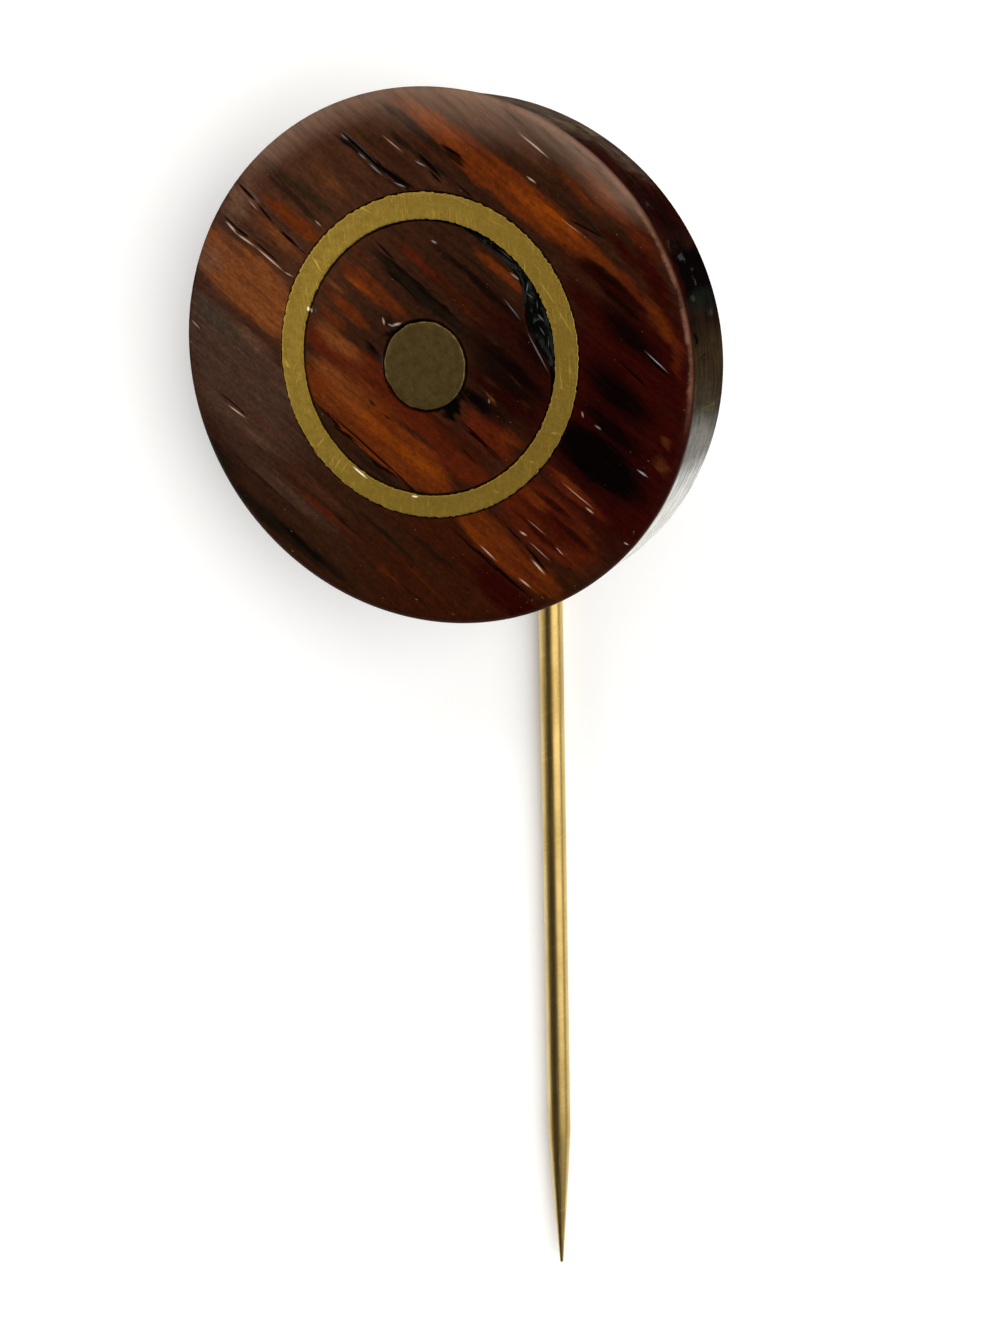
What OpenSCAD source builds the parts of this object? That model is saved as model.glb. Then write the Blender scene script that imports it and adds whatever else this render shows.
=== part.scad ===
/* [Head] */
// Width of the oval wooden disc along the grain
head_long = 19.9; // [19.2:0.1:22]
// Width of the disc across the grain, where the wood has shrunk
head_short = 18.8; // [17:0.1:19]
// Angle of the grain below the horizontal, seen from the front
grain_turn = 26; // [10:1:60]
// Thickness of the disc
head_thick = 4.8; // [4:0.1:7]
// Rounding of the edge round the polished face
front_round = 0.4; // [0.2:0.05:0.7]
// Rounding of the edge round the back
back_round = 0.3; // [0.2:0.05:0.45]

/* [Inlay] */
// Outer diameter of the ring
ring_outer_d = 11.4; // [11:0.05:12]
// Diameter of the hole in the ring, which lies a little low
ring_hole_d = 9.62; // [9:0.02:10]
// Depth that the ring is let into the face
ring_deep = 1.5; // [1:0.1:2]
// Diameter of the round dot in the middle
dot_d = 3.175; // [2.5:0.025:3.6]
// Depth that the dot is let into the face
dot_deep = 2.4; // [1:0.1:3]
// Widest part of the black filler between the ring and the wood inside it
filler_width = 0.72; // [0.3:0.02:0.76]
// Angle of the filler's middle above the horizontal, seen from the front
filler_turn = 22; // [15:1:50]
// Half of the angle that the filler takes up
filler_half_angle = 34; // [34:1:51]

/* [Pin] */
// Length of the whole pin, from the top of the disc to the point
overall_length = 51; // [46:1:75]
// Diameter of the wire
wire_d = 1.0; // [0.8:0.05:1.2]
// Distance from the back of the disc to the middle of the wire
wire_stand_off = 3.0; // [2.8:0.1:4]
// Distance of the wire to the right of the disc's middle
wire_shift = 1.9; // [0:0.1:2.5]
// Length of the sharpened point
point_length = 7.0; // [4:0.5:10]
// Diameter of the round pad on the back of the disc
pad_d = 9; // [7:0.5:10]
// Thickness of the pad
pad_thick = 0.8; // [0.6:0.1:1]

/* [Hidden] */
$fn = 96;

// The core's flat side is part of a very large circle, which needs more steps
flat_fn = 960;

// Room left round each inlaid piece, and an overlap that keeps each cut clean
inlay_gap = 0.03;
cut_past = 1;

// Places on the face, from the middle of the disc
ring_place = [0.02, 0.27];
hole_place = [0.035, 0.215];
dot_place = [-0.03, 0.02];

// The oval is what two larger round discs share when they are shifted apart
oval_shift = (pow(head_long, 2) - pow(head_short, 2)) / (4 * head_short);
oval_r = head_short / 2 + oval_shift;
reach_right = oval_r - oval_shift * sin(grain_turn);
reach_top = oval_r - oval_shift * cos(grain_turn);

// The wood inside the ring is a round core with one flatter side, which leaves
// the crescent that the filler takes up
ring_hole_r = ring_hole_d / 2;
core_r = ring_hole_r - inlay_gap;
chord_half = core_r * sin(filler_half_angle);
flat_rise = core_r * (1 - cos(filler_half_angle)) - filler_width;
flat_r = (pow(chord_half, 2) + pow(flat_rise, 2)) / (2 * flat_rise);
flat_shift = core_r - filler_width - flat_r;

// Wire, neck and pad, where y is up along the wire from the disc's middle
wire_r = wire_d / 2;
wire_z = -head_thick - wire_stand_off;
pad_back = -head_thick - pad_thick;
neck_y = 0.6;
bend_r = 1.5;
wire_top = neck_y - bend_r;
neck_end_z = wire_z + bend_r;
solder_r = 0.45;
tip_y = reach_top - overall_length;
tip_r = 0.08;
taper_y = tip_y + point_length;

// The pin lies on its wire and on the left edge of the disc's back, so the disc
// is rolled about the wire by this angle
lever_x = reach_right - back_round + wire_shift;
lever_z = wire_stand_off + back_round;
roll = atan2(lever_z, lever_x) + asin((wire_r - back_round) / norm([lever_x, lever_z]));

// Outermost reaches of the lying pin, from the middle of the face
lying_right = back_round + (reach_right - back_round) * cos(roll)
  + (head_thick - back_round) * sin(roll);
lying_left = front_round + (reach_right - front_round) * cos(roll)
  - front_round * sin(roll);
face_height = wire_r - wire_z * cos(roll) - wire_shift * sin(roll);

// Moves the pin from the disc's own frame, with the face at z = 0, to where it lies
module lie_down() {
  translate([(lying_left - lying_right) / 2, -(reach_top + tip_y) / 2, face_height])
    rotate([0, -roll, 0])
      children();
}

// A round disc of radius r with both edges rounded
module rounded_disc(r) {
  rotate_extrude() {
    difference() {
      translate([0, -head_thick]) square([r, head_thick]);
      translate([r - front_round, -front_round]) square(cut_past);
      translate([r - back_round, -head_thick + back_round - cut_past]) square(cut_past);
    }
    translate([r - front_round, -front_round]) circle(r = front_round);
    translate([r - back_round, back_round - head_thick]) circle(r = back_round);
  }
}

// The oval disc before anything is let into it
module oval_disc() {
  rotate([0, 0, -grain_turn])
    intersection() {
      translate([0, oval_shift, 0]) rounded_disc(oval_r);
      translate([0, -oval_shift, 0]) rounded_disc(oval_r);
    }
}

// A round plug let in from the face: a radius r, at a place on the face
module plug(r, place, deep, past = 0) {
  translate([place[0], place[1], -deep]) cylinder(r = r, h = deep + past);
}

// The flat side of the core, as a wide plug whose edge crosses the hole
module flat_side(r, deep, past = 0) {
  turn = [cos(filler_turn), sin(filler_turn)];
  plug(r, hole_place + flat_shift * turn, deep, past, $fn = flat_fn);
}

module wooden_head() {
  color("#3a1608")
    lie_down()
      difference() {
        oval_disc();
        difference() {
          plug(ring_outer_d / 2 + inlay_gap, ring_place, ring_deep, cut_past);
          intersection() {
            plug(core_r, hole_place, ring_deep + cut_past, 2 * cut_past);
            flat_side(flat_r, ring_deep + cut_past, 2 * cut_past);
          }
        }
        plug(dot_d / 2 + inlay_gap, dot_place, dot_deep, cut_past);
      }
}

module inlay_ring() {
  color("#b08d3c")
    lie_down()
      difference() {
        plug(ring_outer_d / 2, ring_place, ring_deep);
        plug(ring_hole_r, hole_place, ring_deep + cut_past, 2 * cut_past);
      }
}

module inlay_dot() {
  color("#7a6233")
    lie_down()
      plug(dot_d / 2, dot_place, dot_deep);
}

module black_filler() {
  color("#0c0907")
    lie_down()
      difference() {
        plug(core_r, hole_place, ring_deep);
        flat_side(flat_r + inlay_gap, ring_deep + cut_past, 2 * cut_past);
      }
}

// Fillet of solder round the neck, where it stands on the pad
module solder_fillet() {
  rotate_extrude()
    difference() {
      square([wire_r + solder_r, solder_r]);
      translate([wire_r + solder_r, solder_r]) circle(r = solder_r);
    }
}

module pin_stem() {
  color("#c9a24b")
    lie_down()
      translate([wire_shift, 0, 0]) {
        translate([0, neck_y, pad_back]) cylinder(r = pad_d / 2, h = pad_thick);
        translate([0, neck_y, pad_back]) mirror([0, 0, 1]) solder_fillet();
        translate([0, neck_y, neck_end_z]) cylinder(r = wire_r, h = pad_back - neck_end_z);
        translate([0, wire_top, neck_end_z])
          rotate([0, 90, 0])
            rotate_extrude(angle = 90)
              translate([bend_r, 0]) circle(r = wire_r);
        translate([0, wire_top, wire_z])
          rotate([90, 0, 0])
            cylinder(r = wire_r, h = wire_top - taper_y);
        translate([0, taper_y, wire_z])
          rotate([90, 0, 0])
            cylinder(r1 = wire_r, r2 = tip_r, h = point_length);
      }
}

wooden_head();
inlay_ring();
inlay_dot();
black_filler();
pin_stem();
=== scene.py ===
# %% [markdown]
# # A wooden stick pin with a brass ring and dot
# The pin is a thick oval disc of dark, oily wood. A brass ring and a brass dot are let into
# its polished face, black resin fills a crescent beside the ring, and a gilt wire is
# soldered to a pad on the back. The CAD model gives every size and place. These cells add
# what a maker would see under a loupe: figure, open grain, nicks, scratches and wear.

# %% Load the frame
import math

import bpy
import numpy as np
from mathutils import Matrix, Vector


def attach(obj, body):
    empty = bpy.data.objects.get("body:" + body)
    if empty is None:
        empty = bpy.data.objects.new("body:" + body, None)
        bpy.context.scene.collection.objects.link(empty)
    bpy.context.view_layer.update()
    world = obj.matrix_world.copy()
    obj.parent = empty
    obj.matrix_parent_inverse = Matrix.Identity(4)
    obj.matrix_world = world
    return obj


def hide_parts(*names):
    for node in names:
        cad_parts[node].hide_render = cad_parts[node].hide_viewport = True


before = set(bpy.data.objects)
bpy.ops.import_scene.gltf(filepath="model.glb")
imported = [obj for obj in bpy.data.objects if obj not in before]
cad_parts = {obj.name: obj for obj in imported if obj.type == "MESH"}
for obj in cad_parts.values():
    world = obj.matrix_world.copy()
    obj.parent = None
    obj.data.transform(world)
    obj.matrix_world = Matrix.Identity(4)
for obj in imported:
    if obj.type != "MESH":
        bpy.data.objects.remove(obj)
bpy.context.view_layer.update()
MM = 0.001

# %% [markdown]
# ## The face as a drawing board
# The pin lies on its wire and on one edge of the disc, so the polished face is tilted. All
# pieces are easier to draw flat, with the face at z = 0, and then laid down together. The
# tilt could be typed in as numbers, but it is safer to read it from the CAD: the disc's
# largest flat side is its face, and the dot's top gives a point to measure from.

# %% Find the face
DOT_PLACE = (-0.03, 0.02)

head_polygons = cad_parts["wooden_head"].data.polygons
head_normals = np.array([p.normal for p in head_polygons])
keys = [tuple(n) for n in np.round(head_normals, 3)]
flat_area = {}
for key, polygon in zip(keys, head_polygons):
    if key[2] > 0:
        flat_area[key] = flat_area.get(key, 0) + polygon.area
face_key = max(flat_area, key=flat_area.get)
face_normal = head_normals[[key == face_key for key in keys]].mean(axis=0)
face_normal /= np.linalg.norm(face_normal)

face_up = np.array([0.0, 1.0, 0.0])
face_right = np.cross(face_up, face_normal)
face_axes = np.array([face_right, face_up, face_normal])
dot_points = np.array([v.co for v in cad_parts["inlay_dot"].data.vertices]) @ face_axes.T
dot_low, dot_high = dot_points.min(axis=0), dot_points.max(axis=0)
dot_top = np.array([*(dot_low + dot_high)[:2] / 2, dot_high[2]])
face_middle = (dot_top - MM * np.array([*DOT_PLACE, 0])) @ face_axes

face_matrix = Matrix.Identity(4)
for column, axis in enumerate((face_right, face_up, face_normal, face_middle)):
    for row in range(3):
        face_matrix[row][column] = axis[row]
print("face middle in mm:", np.round(face_middle / MM, 3), "normal:", np.round(face_normal, 4))

# %% [markdown]
# ## The camera
# The photograph looks steeply down on the face from its upper right, so that a slice of the
# disc's wall shows. The camera is placed on the drawing board's own axes, by its distance
# and its three directions, and then carried over to the lying pin. It stays well above the
# floor, and the lens matches the photograph without any shift.

# %% Camera
EYE_PLACE = (22.986, 5.306, 54.106)
EYE_AXES = ((0.9376, -0.0246, -0.3468), (-0.0711, 0.9628, -0.2606), (0.3403, 0.2690, 0.9010))
LENS_MM, SENSOR_MM = 44.2, 36
NEAREST_MM, FARTHEST_MM = 5, 10_000

eye_turn = Matrix(EYE_AXES).transposed()
eye_turn = eye_turn.to_quaternion().normalized().to_matrix().to_4x4()
eye_turn.translation = Vector(EYE_PLACE) * MM
camera = bpy.data.objects.new("camera", bpy.data.cameras.new("camera"))
camera.data.sensor_width = SENSOR_MM
camera.data.lens = LENS_MM
camera.data.clip_start = NEAREST_MM * MM
camera.data.clip_end = FARTHEST_MM * MM
camera.matrix_world = face_matrix @ eye_turn
bpy.context.scene.collection.objects.link(camera)
bpy.context.scene.camera = camera
print("camera in mm:", [round(c / MM, 2) for c in camera.matrix_world.translation])

# %% [markdown]
# ## A loft between rings of points
# Every piece here is round in some way: the disc, the ring, the dot, even the wire. Blender's
# primitives would give perfect solids without a single nick. A loft takes a stack of closed
# rings of points and skins them, so each ring can be ragged, off-centre or dented, and the
# same few lines make every piece. A ring that shrinks to one point closes an end.

# %% Loft
def loft(name, rings, first_point=None, last_point=None, sharp_angle=40):
    """A closed skin over rings of points in mm, shaped (rings, points, 3), as an object."""
    rings = np.asarray(rings, float)
    ring_count, point_count, _ = rings.shape
    points = rings.reshape(-1, 3)
    index = np.arange(len(points)).reshape(ring_count, point_count)
    following = np.roll(index, -1, axis=1)
    quads = np.stack([index[:-1], following[:-1], following[1:], index[1:]], axis=-1).reshape(-1, 4)
    faces = quads.tolist()
    for end, ring, step in ((first_point, index[0], -1), (last_point, index[-1], 1)):
        if end is not None:
            points = np.vstack([points, end])
            tip = len(points) - 1
            pairs = zip(ring, np.roll(ring, -1))
            faces += [[a, b, tip][::step] for a, b in pairs]
    mesh = bpy.data.meshes.new(name)
    mesh.from_pydata((points * MM).tolist(), [], faces)
    mesh.validate()
    corners = np.array([t.vertices for t in mesh.loop_triangles])
    a, b, c = (points[corners[:, k]] for k in range(3))
    inside_out = np.einsum("ij,ij->i", a, np.cross(b, c)).sum() < 0
    if inside_out:
        mesh.flip_normals()
    mesh.shade_smooth()
    mesh.set_sharp_from_angle(angle=math.radians(sharp_angle))
    mesh.transform(face_matrix)
    piece = bpy.data.objects.new(name, mesh)
    bpy.context.scene.collection.objects.link(piece)
    print(name, "triangles:", len(corners))
    return piece


# %% [markdown]
# ## Outlines on the face
# Wood shrinks across the grain, so a disc that was turned round becomes oval with time, here
# by a millimetre. The grain runs down to the right across the face. The groove for the ring
# is round but off-centre, and the wooden core inside it has one ragged side, where chips
# came away and black resin took their place. The width of that gap is given at a few angles
# and smoothed between them. Each outline is a closed curve of points, all with the same
# count, so a skin between any two of them is a plain blend.

# %% Sizes
SEGMENTS = 600
GRAIN_LEAN = math.radians(39)
OVAL_LEAN = math.radians(26)
OVAL_LONG, OVAL_SHORT = 9.805, 9.33
HEAD_THICK = 4.8
FRONT_ROUND, BACK_ROUND = 0.4, 0.3
RING_PLACE, RING_R = np.array([0.02, 0.27]), 5.7
HOLE_PLACE, HOLE_R = np.array([0.035, 0.215]), 4.81
RING_DEEP = 1.5
DOT_R, DOT_DEEP = 1.5875, 2.4
# Room between an inlaid piece and its wall
GAP = 0.03
CORE_R = HOLE_R - GAP
# Width of the filler, in mm, at angles round the hole, in degrees
FILLER_WIDTHS = [(-14, 0.0), (-1, 0.16), (6, 0.52), (12, 0.70), (17, 0.76), (25, 0.66),
                 (32, 0.42), (39, 0.24), (52, 0.24), (62, 0.18), (72, 0.0)]
SMOOTHED_OVER = 9

turns = np.linspace(0, 2 * math.pi, SEGMENTS, endpoint=False)
rays = np.stack([np.cos(turns), np.sin(turns)], axis=1)
degrees_round = (np.degrees(turns) + 180) % 360 - 180
filler_width = np.interp(degrees_round, *zip(*FILLER_WIDTHS))
margin = SMOOTHED_OVER // 2
wrapped = np.concatenate([filler_width[-margin:], filler_width, filler_width[:margin]])
filler_width = np.convolve(wrapped, np.ones(SMOOTHED_OVER) / SMOOTHED_OVER, "valid")
print("widest filler in mm:", round(filler_width.max(), 3))

# %% Outlines
# Room for glue round the ring, and how ragged the groove, the core and its chipped side are
GROOVE_ROOM, GROOVE_RAGGED = 0.012, 0.008
CORE_RAGGED, CHIPPED_RAGGED = 0.015, 0.12


def uneven(turns, seed, amount, lowest=3, highest=40):
    """A gentle wobble round a ring: seeded sines, weaker as they get finer, about amount high."""
    draw = np.random.default_rng(seed)
    waves = np.arange(lowest, highest)
    strength = waves ** -0.6
    phase = draw.uniform(0, 2 * math.pi, len(waves))
    total = (strength[:, None] * np.sin(waves[:, None] * turns + phase[:, None])).sum(axis=0)
    return amount * total / np.abs(total).max()


def oval(inset):
    """The disc's outline, moved inwards by inset."""
    lean = turns + OVAL_LEAN
    reach = np.hypot(OVAL_SHORT * np.cos(lean), OVAL_LONG * np.sin(lean))
    return rays * (OVAL_LONG * OVAL_SHORT / reach - inset)[:, None]


def circle(place, radius):
    """A circle round a place on the face; the radius may change from point to point."""
    return np.asarray(place) + rays * np.broadcast_to(radius, turns.shape)[:, None]


def core_reach(directions):
    """Distance from the hole's middle to the edge of the core, along unit directions."""
    angles = np.arctan2(directions[:, 1], directions[:, 0])
    chipped = filler_width * (1 + uneven(turns, 6, CHIPPED_RAGGED, 12, 90))
    return CORE_R - np.interp(angles, turns, chipped, period=2 * math.pi)


groove_reach = RING_R + GROOVE_ROOM + uneven(turns, 4, GROOVE_RAGGED, 9, 90)
groove_edge = circle(RING_PLACE, groove_reach)
core_ragged = uneven(turns, 5, CORE_RAGGED, 9, 90) - CORE_RAGGED
core_edge = circle(HOLE_PLACE, core_reach(rays) + core_ragged)
dot_edge = circle(DOT_PLACE, DOT_R + GAP)
print("disc in mm:", np.round(np.ptp(oval(0), axis=0), 2))

# %% [markdown]
# ## Cracks and chips
# Oily dark wood like this opens along the grain as it dries. The cracks catch the light on
# one lip and go black inside. One table lists them in grain coordinates: u runs along the
# grain to the lower right and v across it to the upper right, in mm from the disc's middle.
# The mesh sinks along them here, and the wood's material paints shade into the same lines
# later, so that shape and colour always agree.

# %% Tables of cracks and chips
# Each crack: from (u, v) to (u, v), half width, depth
CRACKS = [
    (-9.60, 0.57, -8.55, 0.50, 0.070, 0.07),
    (-8.60, 0.50, -7.50, 0.31, 0.050, 0.05),
    (-7.35, 0.29, -6.20, 0.24, 0.070, 0.07),
    (-6.30, 0.25, -5.85, 0.22, 0.025, 0.03),
    (-9.45, -0.70, -8.50, -0.74, 0.040, 0.05),
    (-8.75, -0.74, -8.05, -0.70, 0.060, 0.07),
    (-8.10, -0.66, -6.40, -0.66, 0.035, 0.04),
    (-3.15, 8.47, -0.35, 8.50, 0.045, 0.06),
    (-3.00, 8.62, -1.90, 8.58, 0.030, 0.03),
    (-7.35, 4.46, -5.00, 4.32, 0.080, 0.08),
    (-5.60, 4.36, -3.85, 4.60, 0.090, 0.09),
    (-6.55, 6.10, -5.95, 6.05, 0.050, 0.05),
    (-4.05, 6.36, -3.15, 6.50, 0.060, 0.05),
    (-4.65, 5.64, -3.30, 5.50, 0.080, 0.07),
    (-3.90, 5.42, -3.20, 5.36, 0.050, 0.05),
    (-5.85, -6.06, -4.40, -6.02, 0.030, 0.05),
    (5.70, -2.52, 6.70, -2.60, 0.040, 0.05),
    (6.60, -2.58, 8.20, -2.86, 0.060, 0.08),
    (5.40, -3.92, 8.30, -4.02, 0.045, 0.05),
    (2.00, -0.64, 4.55, -0.76, 0.035, 0.04),
    (0.95, 7.20, 2.60, 7.55, 0.040, 0.03),
    (6.20, 2.32, 8.60, 2.18, 0.040, 0.04),
    (5.85, 5.46, 7.20, 5.36, 0.050, 0.05),
    (5.20, 4.72, 6.90, 4.60, 0.050, 0.04),
    (-2.60, -3.74, 2.40, -3.80, 0.045, 0.02),
    (-4.10, 2.28, -3.00, 2.22, 0.045, 0.04),
]
# Each chip: middle (u, v), half length along and across the grain, depth
CHIPS = [
    (1.62, -0.52, 0.28, 0.42, 0.06),
    (2.35, 0.30, 0.60, 0.16, 0.04),
    (-2.05, 0.35, 0.35, 0.18, 0.04),
    (-1.75, -0.95, 0.30, 0.16, 0.03),
    (0.20, 3.70, 1.60, 0.12, 0.02),
    (-4.60, -1.15, 0.10, 0.12, 0.03),
    (8.55, 3.00, 0.35, 0.30, 0.02),
]
print("cracks:", len(CRACKS), "chips:", len(CHIPS))

# %% How far the face sinks
# A crack in the mesh is at least this wide on each side, or it falls between the points
NARROWEST = 0.06
# The mesh takes this share of a crack's depth, and painted shade in the wood gives the rest
MESH_SHARE = 0.5
# Share of its width that a crack still has at its ends
END_WIDTH = 0.35
# A faint ripple from polishing: height in mm, turns across and along the grain, and sway
RIPPLE, RIPPLES_ACROSS, RIPPLES_ALONG, RIPPLE_SWAY = 0.0015, 9, 0.8, 1.5


def to_grain(points):
    """Face coordinates (x, y) turned into grain coordinates (u, v)."""
    c, s = math.cos(GRAIN_LEAN), math.sin(GRAIN_LEAN)
    return np.stack([points[..., 0] * c - points[..., 1] * s,
                     points[..., 0] * s + points[..., 1] * c], axis=-1)


def sink(points):
    """How far below the polished face each point lies, from cracks, chips and a faint ripple."""
    grain = to_grain(points)
    depth = np.zeros(grain.shape[:-1])
    for u1, v1, u2, v2, half_width, deep in CRACKS:
        start, run = np.array([u1, v1]), np.array([u2 - u1, v2 - v1])
        share = np.clip(((grain - start) @ run) / (run @ run), 0, 1)
        away = np.linalg.norm(grain - start - share[..., None] * run, axis=-1)
        swell = END_WIDTH + (1 - END_WIDTH) * np.sin(math.pi * share) ** 0.5
        width = max(half_width, NARROWEST) * swell
        depth = np.maximum(depth, MESH_SHARE * deep * np.exp(-(away / width) ** 2))
    for u, v, half_u, half_v, deep in CHIPS:
        away = np.hypot((grain[..., 0] - u) / half_u, (grain[..., 1] - v) / half_v)
        depth = np.maximum(depth, deep * np.exp(-away ** 2))
    sway = np.sin(grain[..., 0] * RIPPLES_ALONG) * RIPPLE_SWAY
    return depth + RIPPLE * (1 + np.sin(grain[..., 1] * RIPPLES_ACROSS + sway))


deepest = max([MESH_SHARE * crack[-1] for crack in CRACKS] + [chip[-1] for chip in CHIPS])
print("deepest opening in the mesh in mm:", deepest)

# %% [markdown]
# ## The wooden head
# On the real pin this is one piece of wood: sawn from a rod, drilled and grooved, then the
# face polished and its edge rounded. A plain cylinder with boolean cuts would be quick but
# has too few points to carry cracks. Instead, the skin starts in the floor of the dot's hole
# and runs outwards, through core, groove, face, round edge and wall, to the middle of the
# back. The two visible rings of face get most of the points, at most a tenth of a mm apart.

# %% Rings of the head
DOME_WIDTH, DOME_DROP = 1.5, 0.06
face_end = oval(FRONT_ROUND)


def at_height(outline_points, height):
    """A ring of points at one height."""
    return np.column_stack([outline_points, np.broadcast_to(height, turns.shape)])


def worn_down(points):
    """How far the polisher's cloth has rounded the last stretch of the face to its edge."""
    inside = np.linalg.norm(face_end, axis=1) - np.linalg.norm(points, axis=1)
    return DOME_DROP * np.clip(1 - inside / DOME_WIDTH, 0, 1) ** 2


def between(inner, outer, count):
    """Rings that blend from one outline to another, on the face and sunk by its cracks."""
    rings = []
    for share in np.linspace(0, 1, count):
        points = inner * (1 - share) + outer * share
        rings.append(at_height(points, -sink(points) - worn_down(points)))
    return rings


def shrunk(edge, place, inset):
    """An outline moved towards a place by inset; a negative inset moves it away."""
    offset = edge - np.asarray(place)
    return edge - inset * offset / np.linalg.norm(offset, axis=1)[:, None]


print("face inside its rounded edge in mm:", np.round(np.ptp(face_end, axis=0), 2))

# %% Wooden head
CORE_RINGS, FACE_RINGS, WALL_RINGS = 44, 54, 16
# Each cut has a worn lip, this wide and this deep, in mm
LIP, LIP_DROP = 0.03, 0.04
# Marks of the lathe on the wall, in mm
TURNING_MARKS, TURNING_SWAY = 0.012, 0.006
# Angles that set each ring of marks apart from the one before
MARK_TURN, MARK_BEAT = 1.9, 2.3
BACK_SHARES = (0.96, 0.9, 0.8, 0.65, 0.5, 0.35, 0.2)
dot_lip = shrunk(dot_edge, DOT_PLACE, -LIP)
core_lip = shrunk(core_edge, HOLE_PLACE, LIP)
groove_lip = shrunk(groove_edge, RING_PLACE, -LIP)

head_rings = [at_height(dot_edge, -height) for height in (DOT_DEEP, DOT_DEEP / 2, LIP_DROP)]
head_rings += between(dot_lip, core_lip, CORE_RINGS)
head_rings += [at_height(core_edge, -height) for height in (LIP_DROP, RING_DEEP / 2, RING_DEEP)]
head_rings += [at_height(groove_edge, -height) for height in (RING_DEEP, RING_DEEP / 2, LIP_DROP)]
head_rings += between(groove_lip, face_end, FACE_RINGS)

edge_sink = sink(face_end) + DOME_DROP
for angle in np.linspace(0, math.pi / 2, 9)[1:]:
    inset = FRONT_ROUND * (1 - math.sin(angle))
    drop = FRONT_ROUND * (1 - math.cos(angle)) + edge_sink * math.cos(angle)
    head_rings.append(at_height(oval(inset), -drop))

wall_heights = np.linspace(-FRONT_ROUND, BACK_ROUND - HEAD_THICK, WALL_RINGS + 2)[1:]
for number, height in enumerate(wall_heights):
    fade = math.sin(math.pi * (number + 1) / (len(wall_heights) + 1))
    beat = np.sin(turns * 2 + number * MARK_TURN) * np.sin(number * MARK_BEAT)
    marks = TURNING_MARKS * (1 + beat)
    sway = TURNING_SWAY * uneven(turns, 50 + number, 1)
    head_rings.append(at_height(oval(fade * (marks + sway)), height))

for angle in np.linspace(0, math.pi / 2, 6)[1:]:
    inset = BACK_ROUND * (1 - math.cos(angle))
    head_rings.append(at_height(oval(inset), BACK_ROUND * (1 - math.sin(angle)) - HEAD_THICK))
head_rings += [at_height(oval(BACK_ROUND) * share, -HEAD_THICK) for share in BACK_SHARES]

wooden_disc = loft("wooden_disc", head_rings, (*DOT_PLACE, -DOT_DEEP), (0, 0, -HEAD_THICK))

# %% [markdown]
# ## The brass ring
# The ring is a slice of brass tube, glued into the groove and sanded level with the wood. Its
# hole is a little low, so its width changes round the face. Sanding left a fine soft edge
# with small nicks. The section is drawn once, from the bottom of the outer wall over the top
# to the bottom of the hole, and skinned round.

# %% Brass ring
RING_BEVEL, RING_DISH, RING_LEVEL, RING_RIPPLE = 0.012, 0.004, -0.001, 0.001
# Both edges lie this far inside the ring's nominal outline, in mm
OUTER_ROOM, INNER_ROOM = 0.026, 0.024
# How far the ragged edges may stand out into the gaps beside them, in mm
OUTER_REACH, INNER_REACH = 0.024, 0.020
# Height in mm, and the fewest and the most waves round the ring
FINE_NICKS, SLOW_NICKS = (0.036, 50, 230), (0.016, 8, 50)


def nicks(fine_seed, slow_seed):
    """Small nicks in a cut edge, over a slow wobble."""
    return uneven(turns, fine_seed, *FINE_NICKS) + uneven(turns, slow_seed, *SLOW_NICKS)


def soft_edge(edge, place, side, angles):
    """Rings over a tiny rounding of an edge; side is 1 for an outer edge and -1 for a hole."""
    return [at_height(shrunk(edge, place, side * RING_BEVEL * (1 - math.cos(angle))),
                      RING_BEVEL * (math.sin(angle) - 1)) for angle in angles]


ring_outer = circle(RING_PLACE, RING_R - OUTER_ROOM + np.minimum(nicks(11, 13), OUTER_REACH))
ring_inner = circle(HOLE_PLACE, HOLE_R + INNER_ROOM + np.maximum(nicks(12, 14), -INNER_REACH))
top_outer = shrunk(ring_outer, RING_PLACE, RING_BEVEL)
top_inner = shrunk(ring_inner, HOLE_PLACE, -RING_BEVEL)
quarter = np.linspace(0, math.pi / 2, 5)

ring_rings = [at_height(ring_outer, -RING_DEEP)]
ring_rings += soft_edge(ring_outer, RING_PLACE, 1, quarter)
for step, share in enumerate(np.linspace(0, 1, 12)[1:-1]):
    dish = uneven(turns, 70 + step, RING_RIPPLE, 5, 60) - RING_DISH * math.sin(math.pi * share)
    ring_rings.append(at_height(top_outer * (1 - share) + top_inner * share, RING_LEVEL + dish))
ring_rings += soft_edge(ring_inner, HOLE_PLACE, -1, quarter[::-1])
ring_rings += [at_height(ring_inner, -RING_DEEP), at_height(ring_outer, -RING_DEEP)]
brass_ring = loft("brass_ring", ring_rings, sharp_angle=50)

# %% [markdown]
# ## The brass dot
# The dot is the end of a brass rod. It was filed to fit by hand, so its outline is faintly
# many-sided. It was rubbed down after the ring and lies a hair below the wood. Its skin starts
# at the bottom of the rod and ends in the middle of the top.

# %% Brass dot
DOT_ROOM, DOT_RAGGED, DOT_BEVEL = 0.03, 0.028, 0.05
DOT_LEVEL, DOT_DISH, DOT_RIPPLE = -0.012, 0.004, 0.0012
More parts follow.
